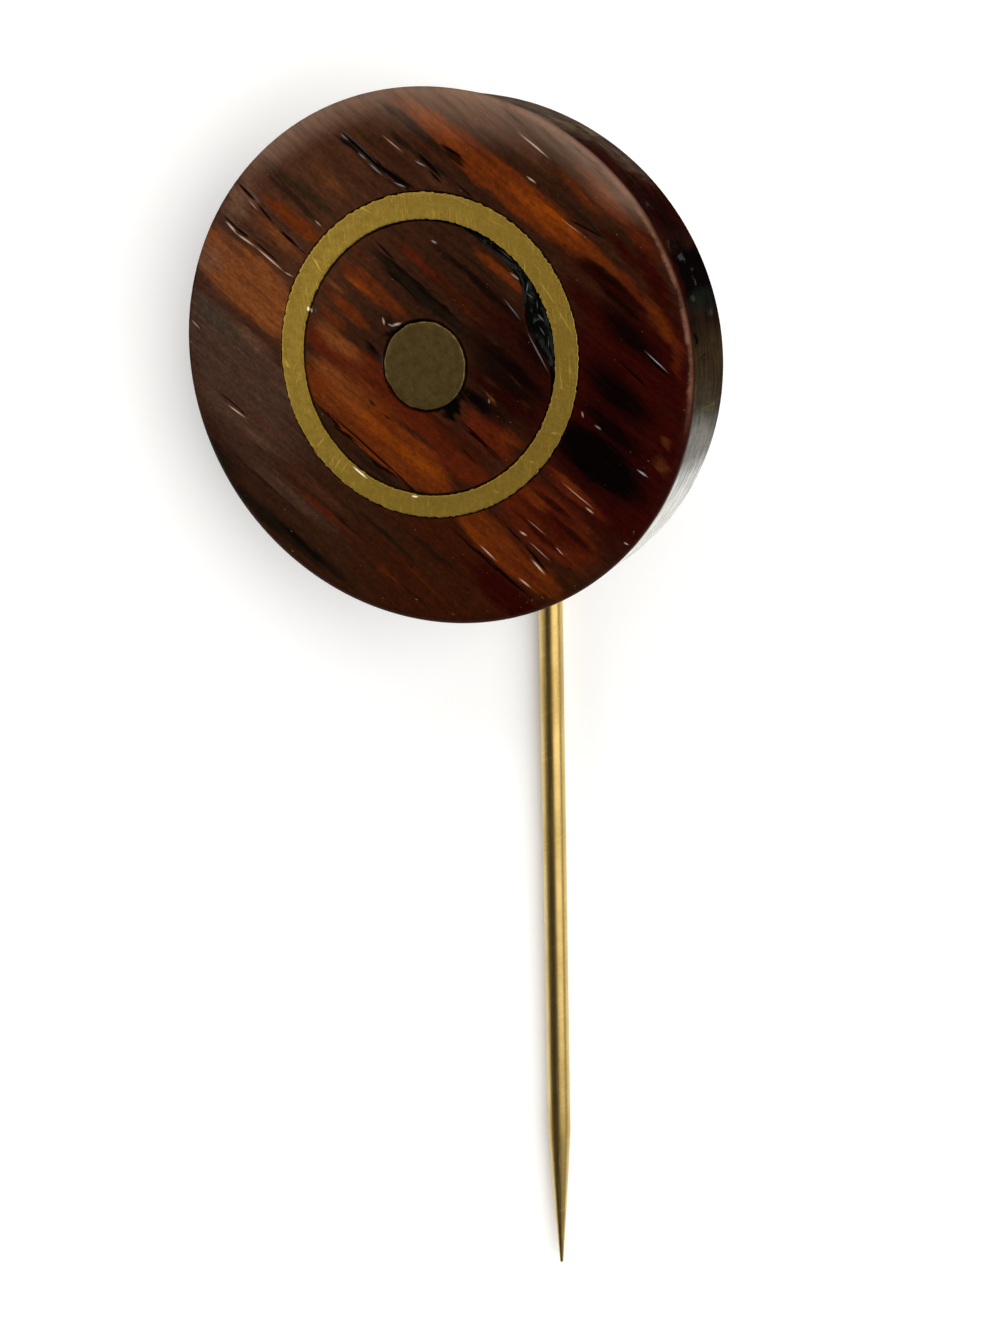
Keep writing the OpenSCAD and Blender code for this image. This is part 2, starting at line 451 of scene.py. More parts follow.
# The file reached down to this depth, in mm
FILED_DEEP = 0.2
DOT_SHARES = (0.9, 0.78, 0.64, 0.5, 0.35, 0.2, 0.08)
dot_outline_r = DOT_R - DOT_ROOM + uneven(turns, 21, DOT_RAGGED, 3, 22)
dot_rings = [at_height(circle(DOT_PLACE, DOT_R - DOT_ROOM), -DOT_DEEP)]
dot_rings += [at_height(circle(DOT_PLACE, dot_outline_r), -FILED_DEEP)]
for angle in quarter:
    outline = circle(DOT_PLACE, dot_outline_r - DOT_BEVEL * (1 - math.cos(angle)))
    dot_rings.append(at_height(outline, DOT_BEVEL * (math.sin(angle) - 1) + DOT_LEVEL))
for step, share in enumerate(DOT_SHARES):
    level = DOT_LEVEL - DOT_DISH * (1 - share) + uneven(turns, 30 + step, DOT_RIPPLE, 2, 9)
    dot_rings.append(at_height(circle(DOT_PLACE, (dot_outline_r - DOT_BEVEL) * share), level))
dot_ends = (*DOT_PLACE, -DOT_DEEP), (*DOT_PLACE, DOT_LEVEL - DOT_DISH)
brass_dot = loft("brass_dot", dot_rings, *dot_ends)

# %% [markdown]
# ## The black filler
# Resin fills the crescent between the ring and the core's ragged side. It shrank as it set,
# so it lies lower than the wood and its top is lumpy. The loft runs along the crescent, from
# one sharp end to the other: each ring of points is one slice across it, as wide as the gap.

# %% Lumps in the resin
LUMP_COUNT, LUMP_LONG, LUMP_WIDE = 24, 0.09, 0.3
LUMP_HIGH, HIGHEST_PILE = 0.07, 1.3
# Sunk this far at its sides, this much more in its middle, and never less than this, in mm
SIDE_SUNK, HOLLOW, LEAST_SUNK = 0.05, 0.10, 0.012
# Each lump: place along the crescent, place across it, size, and two draws that aren't used
lumps = np.random.default_rng(8).uniform(0, 1, (LUMP_COUNT, 5))


def resin_sunk(swing, share):
    """How far the resin lies below the face: swing goes -1 to 1 along it, share 0 to 1 across."""
    along = (swing - (2 * lumps[:, 0] - 1)) / LUMP_LONG
    across = (share - lumps[:, 1]) / LUMP_WIDE
    lump = ((0.5 + 0.5 * lumps[:, 2]) * np.exp(-along ** 2 - across ** 2)).sum()
    sunk = SIDE_SUNK + HOLLOW * math.sin(math.pi * share) - LUMP_HIGH * min(lump, HIGHEST_PILE)
    return max(sunk, LEAST_SUNK)


print("resin sunk in its middle in mm:", round(resin_sunk(0.0, 0.5), 3))

# %% Black filler
SLICES, ACROSS = 130, 11
FILLER_MIDDLE, FILLER_HALF = math.radians(29), math.radians(43)
FILLER_END, FILLER_SHIFT = 0.985, 0.012
# The thin ends are less sunk: the width in mm that adds a full share, and the least share
THIN, THIN_SHARE = 0.12, 0.3
filler_rings = []
for swing in np.linspace(-FILLER_END, FILLER_END, SLICES):
    angle = FILLER_MIDDLE + swing * FILLER_HALF
    direction = np.array([math.cos(angle), math.sin(angle)])
    outer = HOLE_PLACE + direction * (CORE_R + FILLER_SHIFT)
    inner = HOLE_PLACE + direction * (core_reach(direction[None])[0] + FILLER_SHIFT)
    shallow = min(1, np.linalg.norm(outer - inner) / THIN + THIN_SHARE)
    slice_points = []
    for share in np.linspace(0, 1, ACROSS):
        spot = inner * (1 - share) + outer * share
        slice_points.append((*spot, -resin_sunk(swing, share) * shallow))
    slice_points.append((*outer, -RING_DEEP))
    slice_points.append((*inner, -RING_DEEP))
    filler_rings.append(slice_points)
filler_ends = [np.mean(filler_rings[k], axis=0) for k in (0, -1)]
black_resin = loft("black_resin", filler_rings, *filler_ends, sharp_angle=60)

# %% [markdown]
# ## The pin: pad, neck and sharpened wire
# A round pad glued to the back carries the wire. The wire stands up from it in a collar of
# solder, bends down, runs straight behind the disc and ends in a ground point. One loft
# makes all of it: each ring of points has a centre on the path, a direction to face and a
# radius, and the path turns once through the bend.

# %% Sizes of the pin
PIN_POINTS = 64
WIRE_R, WIRE_SHIFT, NECK_Y, BEND_R = 0.5, 1.9, 0.6, 1.5
STAND_OFF = 3.0
PAD_R, PAD_THICK, PAD_BEVEL = 4.5, 0.8, 0.14
SOLDER_R, SOLDER_WOBBLE = 0.45, 0.02
POINT_LENGTH, TIP_R, POINT_CURVE = 7.0, 0.08, 1.15
# The disc's top in the CAD, and a length that ends a hair inside the CAD's point
HEAD_TOP_Y, PIN_LENGTH = 9.4572933, 50.998
TIP_Y = HEAD_TOP_Y - PIN_LENGTH
WIRE_Z = -HEAD_THICK - STAND_OFF
PAD_BACK = -HEAD_THICK - PAD_THICK
TOP_Y = NECK_Y - BEND_R
TAPER_Y = TIP_Y + POINT_LENGTH

pin_turns = np.linspace(0, 2 * math.pi, PIN_POINTS, endpoint=False)
pin_rings = []


def pin_ring(y, z, lean, radius, wobble=0.0):
    """One ring of the pin: lean 0 faces down from the pad, 90 degrees runs along the wire."""
    radius = radius + wobble * np.sin(3 * pin_turns + 7 * z)
    side = radius * np.cos(pin_turns)
    over = radius * np.sin(pin_turns)
    pin_rings.append(np.stack([WIRE_SHIFT + side, y + over * math.cos(lean),
                               z + over * math.sin(lean)], axis=1))


print("straight wire in mm:", round(TOP_Y - TAPER_Y, 2))

# %% Pad and solder
for share in (0.3, 0.6, 0.85, 1.0):
    pin_ring(NECK_Y, -HEAD_THICK, 0, (PAD_R - PAD_BEVEL) * share)
for angle in np.linspace(0, math.pi / 2, 6)[1:]:
    edge = PAD_R - PAD_BEVEL * (1 - math.sin(angle))
    pin_ring(NECK_Y, -HEAD_THICK - PAD_BEVEL * (1 - math.cos(angle)), 0, edge)
for angle in np.linspace(0, math.pi / 2, 6):
    edge = PAD_R - PAD_BEVEL * (1 - math.cos(angle))
    pin_ring(NECK_Y, PAD_BACK + PAD_BEVEL * (1 - math.sin(angle)), 0, edge)
for share in (0.85, 0.7, 0.55, 0.4, 0.3):
    pin_ring(NECK_Y, PAD_BACK, 0, PAD_R * share)
for angle in np.linspace(0, math.pi / 2, 12):
    radius = WIRE_R + SOLDER_R * (1 - math.sin(angle))
    height = PAD_BACK - SOLDER_R * (1 - math.cos(angle))
    pin_ring(NECK_Y, height, 0, radius, SOLDER_WOBBLE * math.sin(2 * angle))
print("rings in the pad:", len(pin_rings))

# %% Neck, wire and point
for height in np.linspace(PAD_BACK - SOLDER_R, WIRE_Z + BEND_R, 5)[1:]:
    pin_ring(NECK_Y, height, 0, WIRE_R)
for lean in np.linspace(0, math.pi / 2, 25)[1:]:
    pin_ring(TOP_Y + BEND_R * math.cos(lean), WIRE_Z + BEND_R * (1 - math.sin(lean)), lean, WIRE_R)
for along in np.linspace(TOP_Y, TAPER_Y, 80)[1:]:
    pin_ring(along, WIRE_Z, math.pi / 2, WIRE_R)
for share in np.linspace(0, 1, 36)[1:]:
    ground = WIRE_R + (TIP_R - WIRE_R) * share ** POINT_CURVE
    pin_ring(TAPER_Y - (POINT_LENGTH - TIP_R) * share, WIRE_Z, math.pi / 2, ground)
for angle in np.linspace(0, math.pi / 2, 5)[1:-1]:
    pin_ring(TIP_Y + TIP_R * (1 - math.sin(angle)), WIRE_Z, math.pi / 2, TIP_R * math.cos(angle))
gilt_pin = loft("gilt_pin", pin_rings, (WIRE_SHIFT, NECK_Y, -HEAD_THICK),
                (WIRE_SHIFT, TIP_Y, WIRE_Z), sharp_angle=60)

# %% [markdown]
# ## Nodes without ceremony
# Materials are built from many small nodes. Writing each one out takes four lines, which
# hides the idea. The first helpers add a node, do a sum with numbers and do one with places.
# The others mix two colours, make a smooth step and read noise, each in one line.

# %% Nodes and sums
NODES_A_ROW, NODE_WIDE, NODE_HIGH = 9, 200, 260


def node(tree, kind, settings=None, **sockets):
    """Adds a node. A socket is named with _ for spaces, or i0, i1 for its place."""
    made = tree.nodes.new(kind)
    row, column = divmod(len(tree.nodes), NODES_A_ROW)
    made.location = (column * NODE_WIDE, -row * NODE_HIGH)
    for name, value in (settings or {}).items():
        setattr(made, name, value)
    for name, value in sockets.items():
        by_place = name[0] == "i" and name[1:].isdigit()
        socket = made.inputs[int(name[1:]) if by_place else name.replace("_", " ")]
        if isinstance(value, bpy.types.NodeSocket):
            tree.links.new(value, socket)
        else:
            socket.default_value = value
    return made


def sums(tree, operation, *values, clamp=False):
    """A Math node's result."""
    settings = {"operation": operation, "use_clamp": clamp}
    sockets = {f"i{k}": value for k, value in enumerate(values)}
    return node(tree, "ShaderNodeMath", settings, **sockets).outputs[0]


def product(tree, first, *others):
    """All the values multiplied."""
    for other in others:
        first = sums(tree, "MULTIPLY", first, other)
    return first


def vectors(tree, operation, *values):
    """A Vector Math node's result: a number for a length or a dot product, else a vector."""
    sockets = {f"i{k}": value for k, value in enumerate(values)}
    made = node(tree, "ShaderNodeVectorMath", {"operation": operation}, **sockets)
    return made.outputs["Value" if operation in ("LENGTH", "DOT_PRODUCT") else "Vector"]


# %% Colours, steps and noise
def blend_colours(tree, share, under, over, blend="MIX"):
    """The colour between under and over."""
    settings = {"data_type": "RGBA", "blend_type": blend}
    return node(tree, "ShaderNodeMix", settings, i0=share, i6=under, i7=over).outputs[2]


def ramp_between(tree, value, low, high, low_out=0.0, high_out=1.0):
    """A smooth step: low_out where value is below low, high_out above high."""
    settings = {"interpolation_type": "SMOOTHSTEP"}
    return node(tree, "ShaderNodeMapRange", settings, Value=value, From_Min=low, From_Max=high,
                To_Min=low_out, To_Max=high_out).outputs[0]


def noise(tree, place, stretch, detail=2.0, roughness=0.5):
    """Noise over place, whose features per mm along each axis are given by stretch."""
    scaled = vectors(tree, "MULTIPLY", place, stretch)
    return node(tree, "ShaderNodeTexNoise", Vector=scaled, Scale=1.0, Detail=detail,
                Roughness=roughness).outputs[0]


# %% [markdown]
# ## A streak of colour
# The figure of the wood is made of long pale and dark streaks that fade at both ends. One
# streak is an ellipse: the place is measured from its middle, along and across it, in half
# lengths and half widths. Its edge is then at distance one, and a smooth step fades the colour
# in. It is a node group because the wood uses it more than two hundred times, and because
# cracks and glints are only very thin streaks. The group also hands the place on, moved by a
# billionth of a mm of its mask: each streak then waits for the one before it, and the
# renderer never has to hold hundreds of them at once.

# %% Group helpers
def new_group(name, inputs, outputs):
    """A shader node group, its input node's outputs and its output node's inputs."""
    tree = bpy.data.node_groups.new(name, "ShaderNodeTree")
    for label, kind, value in inputs:
        socket = tree.interface.new_socket(label, in_out="INPUT", socket_type="NodeSocket" + kind)
        socket.default_value = value
    for label, kind in outputs:
        tree.interface.new_socket(label, in_out="OUTPUT", socket_type="NodeSocket" + kind)
    return tree, tree.nodes.new("NodeGroupInput").outputs, tree.nodes.new("NodeGroupOutput").inputs


def use_group(tree, group, **sockets):
    """Places a group in a material and returns its outputs."""
    return node(tree, "ShaderNodeGroup", {"node_tree": group}, **sockets).outputs


# %% Streak group
HANDED_SHIFT = (1e-9, 0, 0)
streak_group, given, result = new_group(
    "Streak",
    [("Place", "Vector", (0, 0, 0)), ("Middle", "Vector", (0, 0, 0)),
     ("Along", "Vector", (1, 0, 0)), ("Across", "Vector", (0, 1, 0)),
     ("Softness", "Float", 0.8), ("Strength", "Float", 1.0),
     ("Under", "Color", (0, 0, 0, 1)), ("Tone", "Color", (1, 1, 1, 1))],
    [("Color", "Color"), ("Mask", "Float"), ("Place", "Vector")])
offset = vectors(streak_group, "SUBTRACT", given["Place"], given["Middle"])
along = vectors(streak_group, "DOT_PRODUCT", offset, given["Along"])
across = vectors(streak_group, "DOT_PRODUCT", offset, given["Across"])
distance = sums(streak_group, "MULTIPLY_ADD", along, along, product(streak_group, across, across))
distance = sums(streak_group, "SQRT", distance)
full_from = sums(streak_group, "SUBTRACT", 1.0, given["Softness"])
streak_mask = ramp_between(streak_group, distance, full_from, 1.0, given["Strength"], 0.0)
streak_colour = blend_colours(streak_group, streak_mask, given["Under"], given["Tone"])
handed_on = vectors(streak_group, "MULTIPLY_ADD", streak_mask, HANDED_SHIFT, given["Place"])
streak_group.links.new(streak_colour, result["Color"])
streak_group.links.new(streak_mask, result["Mask"])
streak_group.links.new(handed_on, result["Place"])


def streak(tree, place, under, tone, u, v, half_u, half_v, lean=0.0, soft=0.8, strength=1.0):
    """Lays one streak over a colour; returns the new colour, its mask and the place."""
    c, s = math.cos(math.radians(lean)), math.sin(math.radians(lean))
    out = use_group(tree, streak_group, Place=place, Middle=(u, v, 0),
                    Along=(c / half_u, s / half_u, 0), Across=(-s / half_v, c / half_v, 0),
                    Softness=soft, Strength=strength, Under=under, Tone=tone)
    return out["Color"], out["Mask"], out["Place"]


def thin_streak(u1, v1, u2, v2, half_width):
    """The middle, half sizes and lean of a thin streak from one place to another."""
    length = math.hypot(u2 - u1, v2 - v1)
    lean = math.degrees(math.atan2(v2 - v1, u2 - u1))
    return (u1 + u2) / 2, (v1 + v2) / 2, length / 2 + half_width, half_width, lean


print("nodes in a streak:", len(streak_group.nodes))

# %% [markdown]
# ## Tones
# The tones have a maker's names, from amber sapwood to ink-black heartwood, bone for pale
# flecks and painted glints, silver for painted glints, fawn for painted sheen, and khaki to
# slate for the wall. Ash is a wood tone that also serves for painted sheen and a glint; slate
# is for painted glints. They are written as screen colours, which are easy to judge by eye,
# and a helper turns them into the linear ones of shaders.

# %% Tones
def tint(red, green, blue):
    """A screen colour from 0 to 255 as the linear colour that shaders use."""
    screen = np.array([red, green, blue]) / 255
    linear = np.where(screen <= 0.04045, screen / 12.92, ((screen + 0.055) / 1.055) ** 2.4)
    return (*linear.tolist(), 1.0)


TONES = {
    "amber": tint(118, 53, 6),
    "honey": tint(112, 60, 26),
    "rust": tint(92, 38, 8),
    "russet": tint(76, 25, 7),
    "brown": tint(67, 37, 21),
    "umber": tint(46, 23, 11),
    "chestnut": tint(50, 18, 5),
    "wine": tint(41, 5, 2),
    "maroon": tint(33, 5, 2),
    "soot": tint(25, 15, 8),
    "ink": tint(5, 1, 1),
    "ash": tint(56, 46, 37),
    "bone": tint(196, 164, 140),
    "silver": tint(150, 156, 158),
    "fawn": tint(88, 72, 60),
    "khaki": tint(96, 90, 44),
    "olive": tint(50, 40, 26),
    "taupe": tint(65, 43, 32),
    "sand": tint(94, 65, 48),
    "moss": tint(16, 22, 17),
    "bark": tint(40, 28, 13),
    "slate": tint(54, 60, 58),
}
print("tones:", ", ".join(TONES))

# %% [markdown]
# ## The figure of the wood
# This table places the tones on the face in grain coordinates, broad patches first and thin
# veins last, because each one covers what lies under it. An image of the wood would be
# easier, but a table can be read, resized and changed streak by streak.

# %% Figure of the face
# Each streak: tone, middle (u, v), half length, half width, lean in degrees, softness, strength
FIGURE = [
    # The broad fields: brown on the left, red on the right, chestnut below
    ("brown", -7.5, 1.0, 6.0, 9.0, 0, 0.8, 1.0),
    ("wine", 8.4, 3.4, 7.4, 5.6, -6, 0.5, 1.0),
    ("chestnut", 6.4, -5.5, 6.2, 5.0, 0, 0.6, 0.9),
    ("maroon", 1.8, 2.9, 3.0, 1.3, -4, 0.8, 0.8),
    # Above the ring, from the edge down
    # The ash strip along the top edge is painted sheen
    ("ash", -1.2, 9.15, 3.4, 0.40, -1, 0.8, 0.8),
    ("brown", -4.6, 7.95, 3.2, 0.70, 2, 0.7, 0.9),
    ("brown", -1.3, 8.10, 1.5, 0.50, 0, 0.9, 0.9),
    ("rust", 1.7, 8.55, 1.9, 0.38, -9, 0.7, 0.85),
    ("rust", 0.9, 8.18, 1.5, 0.28, -6, 0.8, 0.6),
    ("wine", 3.4, 7.62, 1.6, 0.26, -8, 0.8, 0.9),
    ("umber", 1.4, 8.26, 2.0, 0.10, -4, 0.8, 0.6),
    ("umber", 0.2, 7.80, 1.3, 0.09, 0, 0.8, 0.8),
    ("russet", 3.6, 8.20, 1.3, 0.34, -12, 0.8, 0.7),
    ("soot", 1.9, 7.58, 1.2, 0.10, -1, 0.7, 0.9),
    ("rust", -1.6, 6.72, 5.8, 0.66, 1, 0.4, 1.0),
    ("rust", 3.0, 6.98, 1.9, 0.32, -2, 0.7, 0.9),
    ("amber", -4.4, 6.85, 1.9, 0.34, -2, 0.8, 0.6),
    ("amber", 0.3, 6.78, 2.5, 0.42, 2, 0.8, 0.7),
    ("amber", 0.9, 6.98, 1.5, 0.16, 0, 0.8, 0.6),
    ("umber", -1.4, 6.30, 1.3, 0.08, 0, 0.8, 0.3),
    ("maroon", 3.6, 6.50, 2.0, 0.36, 2, 0.5, 1.0),
    ("ink", 3.4, 6.60, 1.3, 0.14, 2, 0.8, 0.7),
    ("russet", 4.3, 6.90, 1.0, 0.20, -8, 0.7, 0.9),
    ("rust", 5.7, 6.62, 1.40, 0.36, -20, 0.8, 0.75),
    ("wine", 4.7, 7.50, 1.7, 0.36, -24, 0.7, 0.95),
    ("russet", 6.9, 6.05, 0.9, 0.34, -50, 0.9, 0.8),
    ("ink", 5.0, 5.60, 2.3, 0.60, -3, 0.8, 0.9),
    ("ink", 4.4, 6.20, 1.4, 0.22, 0, 0.7, 0.8),
    ("chestnut", 1.8, 6.18, 1.1, 0.24, -4, 0.8, 0.8),
    ("wine", 3.4, 5.45, 1.6, 0.45, -10, 0.8, 0.9),
    ("soot", -5.2, 6.20, 2.2, 0.17, 1, 0.6, 0.9),
    # Ink streaks that follow the cracks in this stretch are painted shade inside them
    ("ink", -6.3, 6.10, 0.4, 0.07, 3, 0.6, 0.8),
    ("ink", -3.45, 6.38, 0.75, 0.15, 8, 0.6, 0.85),
    ("umber", -3.0, 6.05, 1.6, 0.16, 2, 0.8, 0.7),
    ("russet", -4.6, 5.88, 1.5, 0.10, 2, 0.8, 0.6),
    ("soot", -5.1, 5.50, 1.4, 0.14, 2, 0.6, 0.9),
    ("ink", -3.85, 5.56, 0.60, 0.11, 4, 0.7, 0.7),
    ("brown", -3.5, 5.30, 1.1, 0.30, 2, 0.9, 0.85),
    ("ink", -2.55, 5.66, 0.5, 0.12, 6, 0.7, 0.9),
    ("umber", -5.4, 4.95, 2.4, 0.28, 1, 0.8, 0.8),
    ("ink", -5.5, 4.46, 2.1, 0.17, 1, 0.5, 0.95),
    ("ink", -6.6, 4.32, 0.9, 0.13, 2, 0.6, 0.9),
    ("soot", -5.0, 4.22, 1.6, 0.10, 2, 0.7, 0.7),
    # Left of the ring
    ("umber", -7.0, 3.60, 2.6, 0.26, 0, 0.8, 0.5),
    ("honey", -6.7, 2.85, 1.5, 0.36, 1, 0.9, 0.35),
    ("bark", -7.2, 1.95, 2.5, 0.32, 1, 0.8, 0.95),
    ("soot", -7.6, 1.52, 2.0, 0.17, -2, 0.6, 0.8),
    ("ink", -8.1, 1.72, 0.8, 0.10, -8, 0.8, 0.6),
    ("rust", -6.8, 0.92, 1.9, 0.36, 0, 0.6, 0.95),
    ("honey", -7.2, 0.02, 1.9, 0.42, 0, 0.9, 0.6),
    # This sand streak at the left edge is partly the wood's tone and partly painted sheen
    ("sand", -9.2, 0.15, 0.9, 1.60, 0, 0.9, 0.85),
    ("umber", -7.6, -0.50, 2.0, 0.10, 0, 0.8, 0.7),
    ("honey", -7.3, -2.05, 3.2, 1.18, 0, 0.25, 0.9),
    ("honey", -5.9, -2.30, 1.8, 0.80, 0, 0.9, 0.9),
    ("sand", -9.0, -2.40, 0.8, 0.90, 0, 0.9, 0.7),
    ("brown", -8.5, -1.35, 1.5, 0.20, -4, 0.8, 0.6),
    ("umber", -7.6, -3.05, 2.2, 0.10, 0, 0.8, 0.5),
    ("taupe", -6.9, -4.45, 3.9, 1.12, 0, 0.15, 1.0),
    ("ash", -7.4, -4.00, 2.0, 0.60, 0, 0.8, 0.7),
    ("sand", -5.9, -3.55, 1.4, 0.42, 0, 0.9, 0.5),
    ("soot", -6.6, -5.05, 2.2, 0.10, 0, 0.8, 0.6),
    # Below the ring
    ("umber", 0.0, -5.70, 7.5, 0.55, 0, 0.6, 0.8),
    ("taupe", -4.9, -5.60, 4.2, 2.00, 0, 0.7, 0.9),
    ("sand", -4.6, -6.40, 2.6, 0.30, 0, 0.8, 0.3),
    ("russet", -4.4, -5.90, 2.2, 0.12, 1, 0.8, 0.35),
    ("soot", -5.3, -6.05, 1.0, 0.06, 0, 0.7, 0.8),
    ("taupe", -1.8, -7.20, 3.8, 0.50, 0, 0.8, 0.8),
    ("brown", -0.8, -6.35, 2.2, 0.36, 0, 0.9, 0.7),
    ("russet", 0.2, -6.85, 2.4, 0.20, 0, 0.8, 0.8),
    ("soot", -2.6, -7.55, 2.4, 0.10, 0, 0.7, 0.8),
    ("soot", 0.9, -6.68, 0.9, 0.08, -2, 0.7, 0.8),
    ("soot", -5.4, -8.10, 2.6, 0.55, 0, 0.6, 1.0),
    ("soot", -1.0, -8.55, 4.4, 0.42, 1, 0.5, 1.0),
    ("ink", 0.0, -8.42, 1.9, 0.20, -1, 0.6, 0.8),
    ("soot", 2.9, -5.95, 2.0, 0.13, 0, 0.6, 0.9),
    ("soot", 4.6, -7.00, 1.8, 0.09, 2, 0.7, 0.7),
    ("umber", 2.4, -7.55, 2.2, 0.14, 0, 0.8, 0.8),
    ("rust", 3.4, -7.05, 1.2, 0.12, 0, 0.8, 0.5),
    ("rust", 4.6, -6.30, 1.6, 0.12, 0, 0.8, 0.3),
    # Right of the ring
    ("chestnut", 5.2, -4.50, 2.2, 0.62, 0, 0.5, 0.8),
    ("wine", 7.4, -4.60, 2.3, 0.75, -2, 0.5, 1.0),
    ("soot", 4.0, -5.15, 2.4, 0.10, 2, 0.7, 0.8),
    ("russet", 6.8, -1.35, 2.8, 1.30, -2, 0.4, 0.9),
    ("wine", 7.2, -1.30, 2.4, 0.60, -2, 0.9, 0.7),
    ("rust", 6.3, -3.20, 2.9, 0.78, -1, 0.25, 0.85),
    ("amber", 5.0, -3.50, 0.9, 0.30, 0, 0.9, 0.5),
    ("russet", 7.4, -3.30, 1.5, 0.26, -3, 0.8, 0.8),
    ("chestnut", 6.8, -2.62, 2.0, 0.30, -5, 0.8, 0.9),
    # This ink line follows a crack: painted shade inside it
    ("ink", 6.2, -4.02, 2.2, 0.09, 0, 0.6, 0.9),
    ("rust", 5.95, -0.95, 0.9, 0.36, 0, 0.8, 0.8),
    ("maroon", 7.6, -1.10, 1.5, 0.20, -1, 0.7, 0.9),
    ("maroon", 6.9, -1.95, 1.9, 0.16, -2, 0.7, 0.8),
    ("maroon", 6.8, -0.70, 1.6, 0.20, 0, 0.8, 0.9),
    ("russet", 7.0, 0.15, 1.9, 0.30, -1, 0.6, 0.85),
    ("rust", 6.6, 0.25, 0.9, 0.16, 0, 0.8, 0.7),
    ("ink", 7.0, 1.50, 2.7, 1.12, 0, 0.5, 1.0),
    ("ink", 6.6, 2.75, 2.3, 0.50, -3, 0.7, 0.9),
    ("maroon", 8.0, 0.80, 1.2, 0.14, 0, 0.8, 0.8),
    ("ink", 6.1, 3.80, 2.2, 0.85, -4, 0.7, 0.95),
    ("honey", 8.75, 2.85, 0.50, 0.28, -20, 0.9, 0.35),
    ("honey", 8.5, 3.60, 0.40, 0.22, -30, 0.9, 0.3),
    # Inside the ring, from the top down
    ("umber", -1.0, 3.75, 3.2, 0.60, 0, 0.7, 0.8),
    ("ink", 0.0, 3.55, 3.0, 0.22, 0, 0.7, 0.75),
    ("soot", -0.5, 3.95, 1.6, 0.12, 0, 0.7, 0.8),
    ("rust", 0.2, 4.38, 1.7, 0.24, -2, 0.6, 0.9),
    ("chestnut", -0.8, 2.72, 2.6, 0.34, 0, 0.8, 0.9),
    ("russet", -2.5, 2.72, 1.3, 0.28, 0, 0.8, 0.9),
    ("umber", -3.6, 3.00, 1.0, 0.40, 0, 0.8, 0.8),
    ("russet", 0.2, 2.50, 0.8, 0.10, 0, 0.8, 0.4),
    ("soot", -1.6, 1.90, 3.2, 0.36, 0, 0.5, 1.0),
    ("ink", -1.5, 2.08, 2.6, 0.11, 1, 0.7, 0.85),
    ("ink", -2.6, 1.72, 1.2, 0.10, -3, 0.7, 0.7),
    ("russet", -4.3, 1.55, 0.6, 0.14, 0, 0.8, 0.8),
    ("ink", 2.8, 1.45, 2.4, 1.20, 0, 0.8, 0.8),
    ("ink", 2.9, 3.00, 1.5, 0.60, -16, 0.9, 0.6),
    ("ink", 2.9, 2.02, 2.1, 0.34, -2, 0.8, 0.8),
    ("ink", 3.0, 1.20, 1.5, 0.24, 1, 0.8, 0.9),
    ("maroon", 2.9, 1.05, 1.9, 0.42, 0, 0.5, 1.0),
    ("rust", -3.2, 0.92, 1.9, 0.42, 0, 0.5, 0.7),
    ("amber", -3.8, 0.75, 0.9, 0.20, 2, 0.8, 0.7),
    ("honey", -4.3, 0.10, 0.7, 0.20, 0, 0.9, 0.6),
    ("umber", -2.6, 0.28, 1.2, 0.10, 0, 0.8, 0.8),
    ("rust", -3.5, -0.30, 1.3, 0.34, -2, 0.7, 0.9),
    ("rust", -3.9, -0.95, 0.9, 0.26, -2, 0.8, 0.7),
    ("umber", -2.3, -0.58, 0.9, 0.26, -6, 0.6, 0.95),
    ("ink", -2.1, -0.75, 0.5, 0.12, -8, 0.7, 0.9),
    ("russet", 0.0, -1.85, 4.9, 0.98, 0, 0.2, 0.95),
    ("honey", -3.1, -1.45, 1.7, 0.50, 0, 0.8, 0.9),
    ("chestnut", 2.6, -1.30, 2.0, 0.44, 0, 0.6, 0.8),
    ("rust", -0.2, -3.02, 4.1, 1.12, 0, 0.25, 0.95),
    ("honey", -2.8, -2.65, 1.3, 0.42, 0, 0.9, 0.7),
    ("amber", -0.2, -2.98, 3.9, 0.42, 0, 0.9, 0.75),
    ("rust", -2.4, -3.42, 1.7, 0.14, -3, 0.8, 0.7),
    ("amber", 2.0, -2.80, 1.4, 0.36, 8, 0.9, 0.9),
    ("honey", -1.8, -2.70, 1.6, 1.20, 0, 0.9, 0.35),
    ("umber", 1.1, -2.16, 1.9, 0.10, 2, 0.7, 0.8),
    ("umber", -2.0, -2.20, 1.6, 0.07, 0, 0.8, 0.6),
    ("soot", -0.9, -2.36, 0.35, 0.08, -6, 0.7, 0.8),
    ("soot", -0.1, -2.38, 0.25, 0.09, 0, 0.7, 0.8),
    ("maroon", 3.1, -1.45, 0.5, 0.09, -3, 0.7, 0.9),
    ("umber", 0.0, -4.34, 3.2, 0.50, -1, 0.2, 1.0),
    # These ink lines follow a shallow crack: painted shade inside it
    ("ink", -1.5, -3.90, 1.6, 0.09, -3, 0.6, 0.9),
    ("ink", 0.7, -3.98, 0.8, 0.10, 4, 0.6, 0.9),
    ("ink", 1.9, -3.92, 0.9, 0.10, -8, 0.6, 0.9),
    ("soot", 0.8, -4.20, 1.7, 0.16, 0, 0.7, 0.8),
    ("russet", 3.3, -0.35, 1.6, 0.80, 0, 0.6, 0.95),
    ("rust", 3.9, 0.02, 0.9, 0.36, 0, 0.8, 0.6),
    ("ink", 2.9, 0.35, 1.7, 0.62, 0, 0.9, 0.7),
    ("honey", 2.5, 0.66, 0.45, 0.10, -6, 0.8, 0.5),
    ("ink", 2.2, 0.22, 1.05, 0.34, -2, 0.7, 0.95),
    # Painted shade: ink inside a crack, then in the chip beside the dot
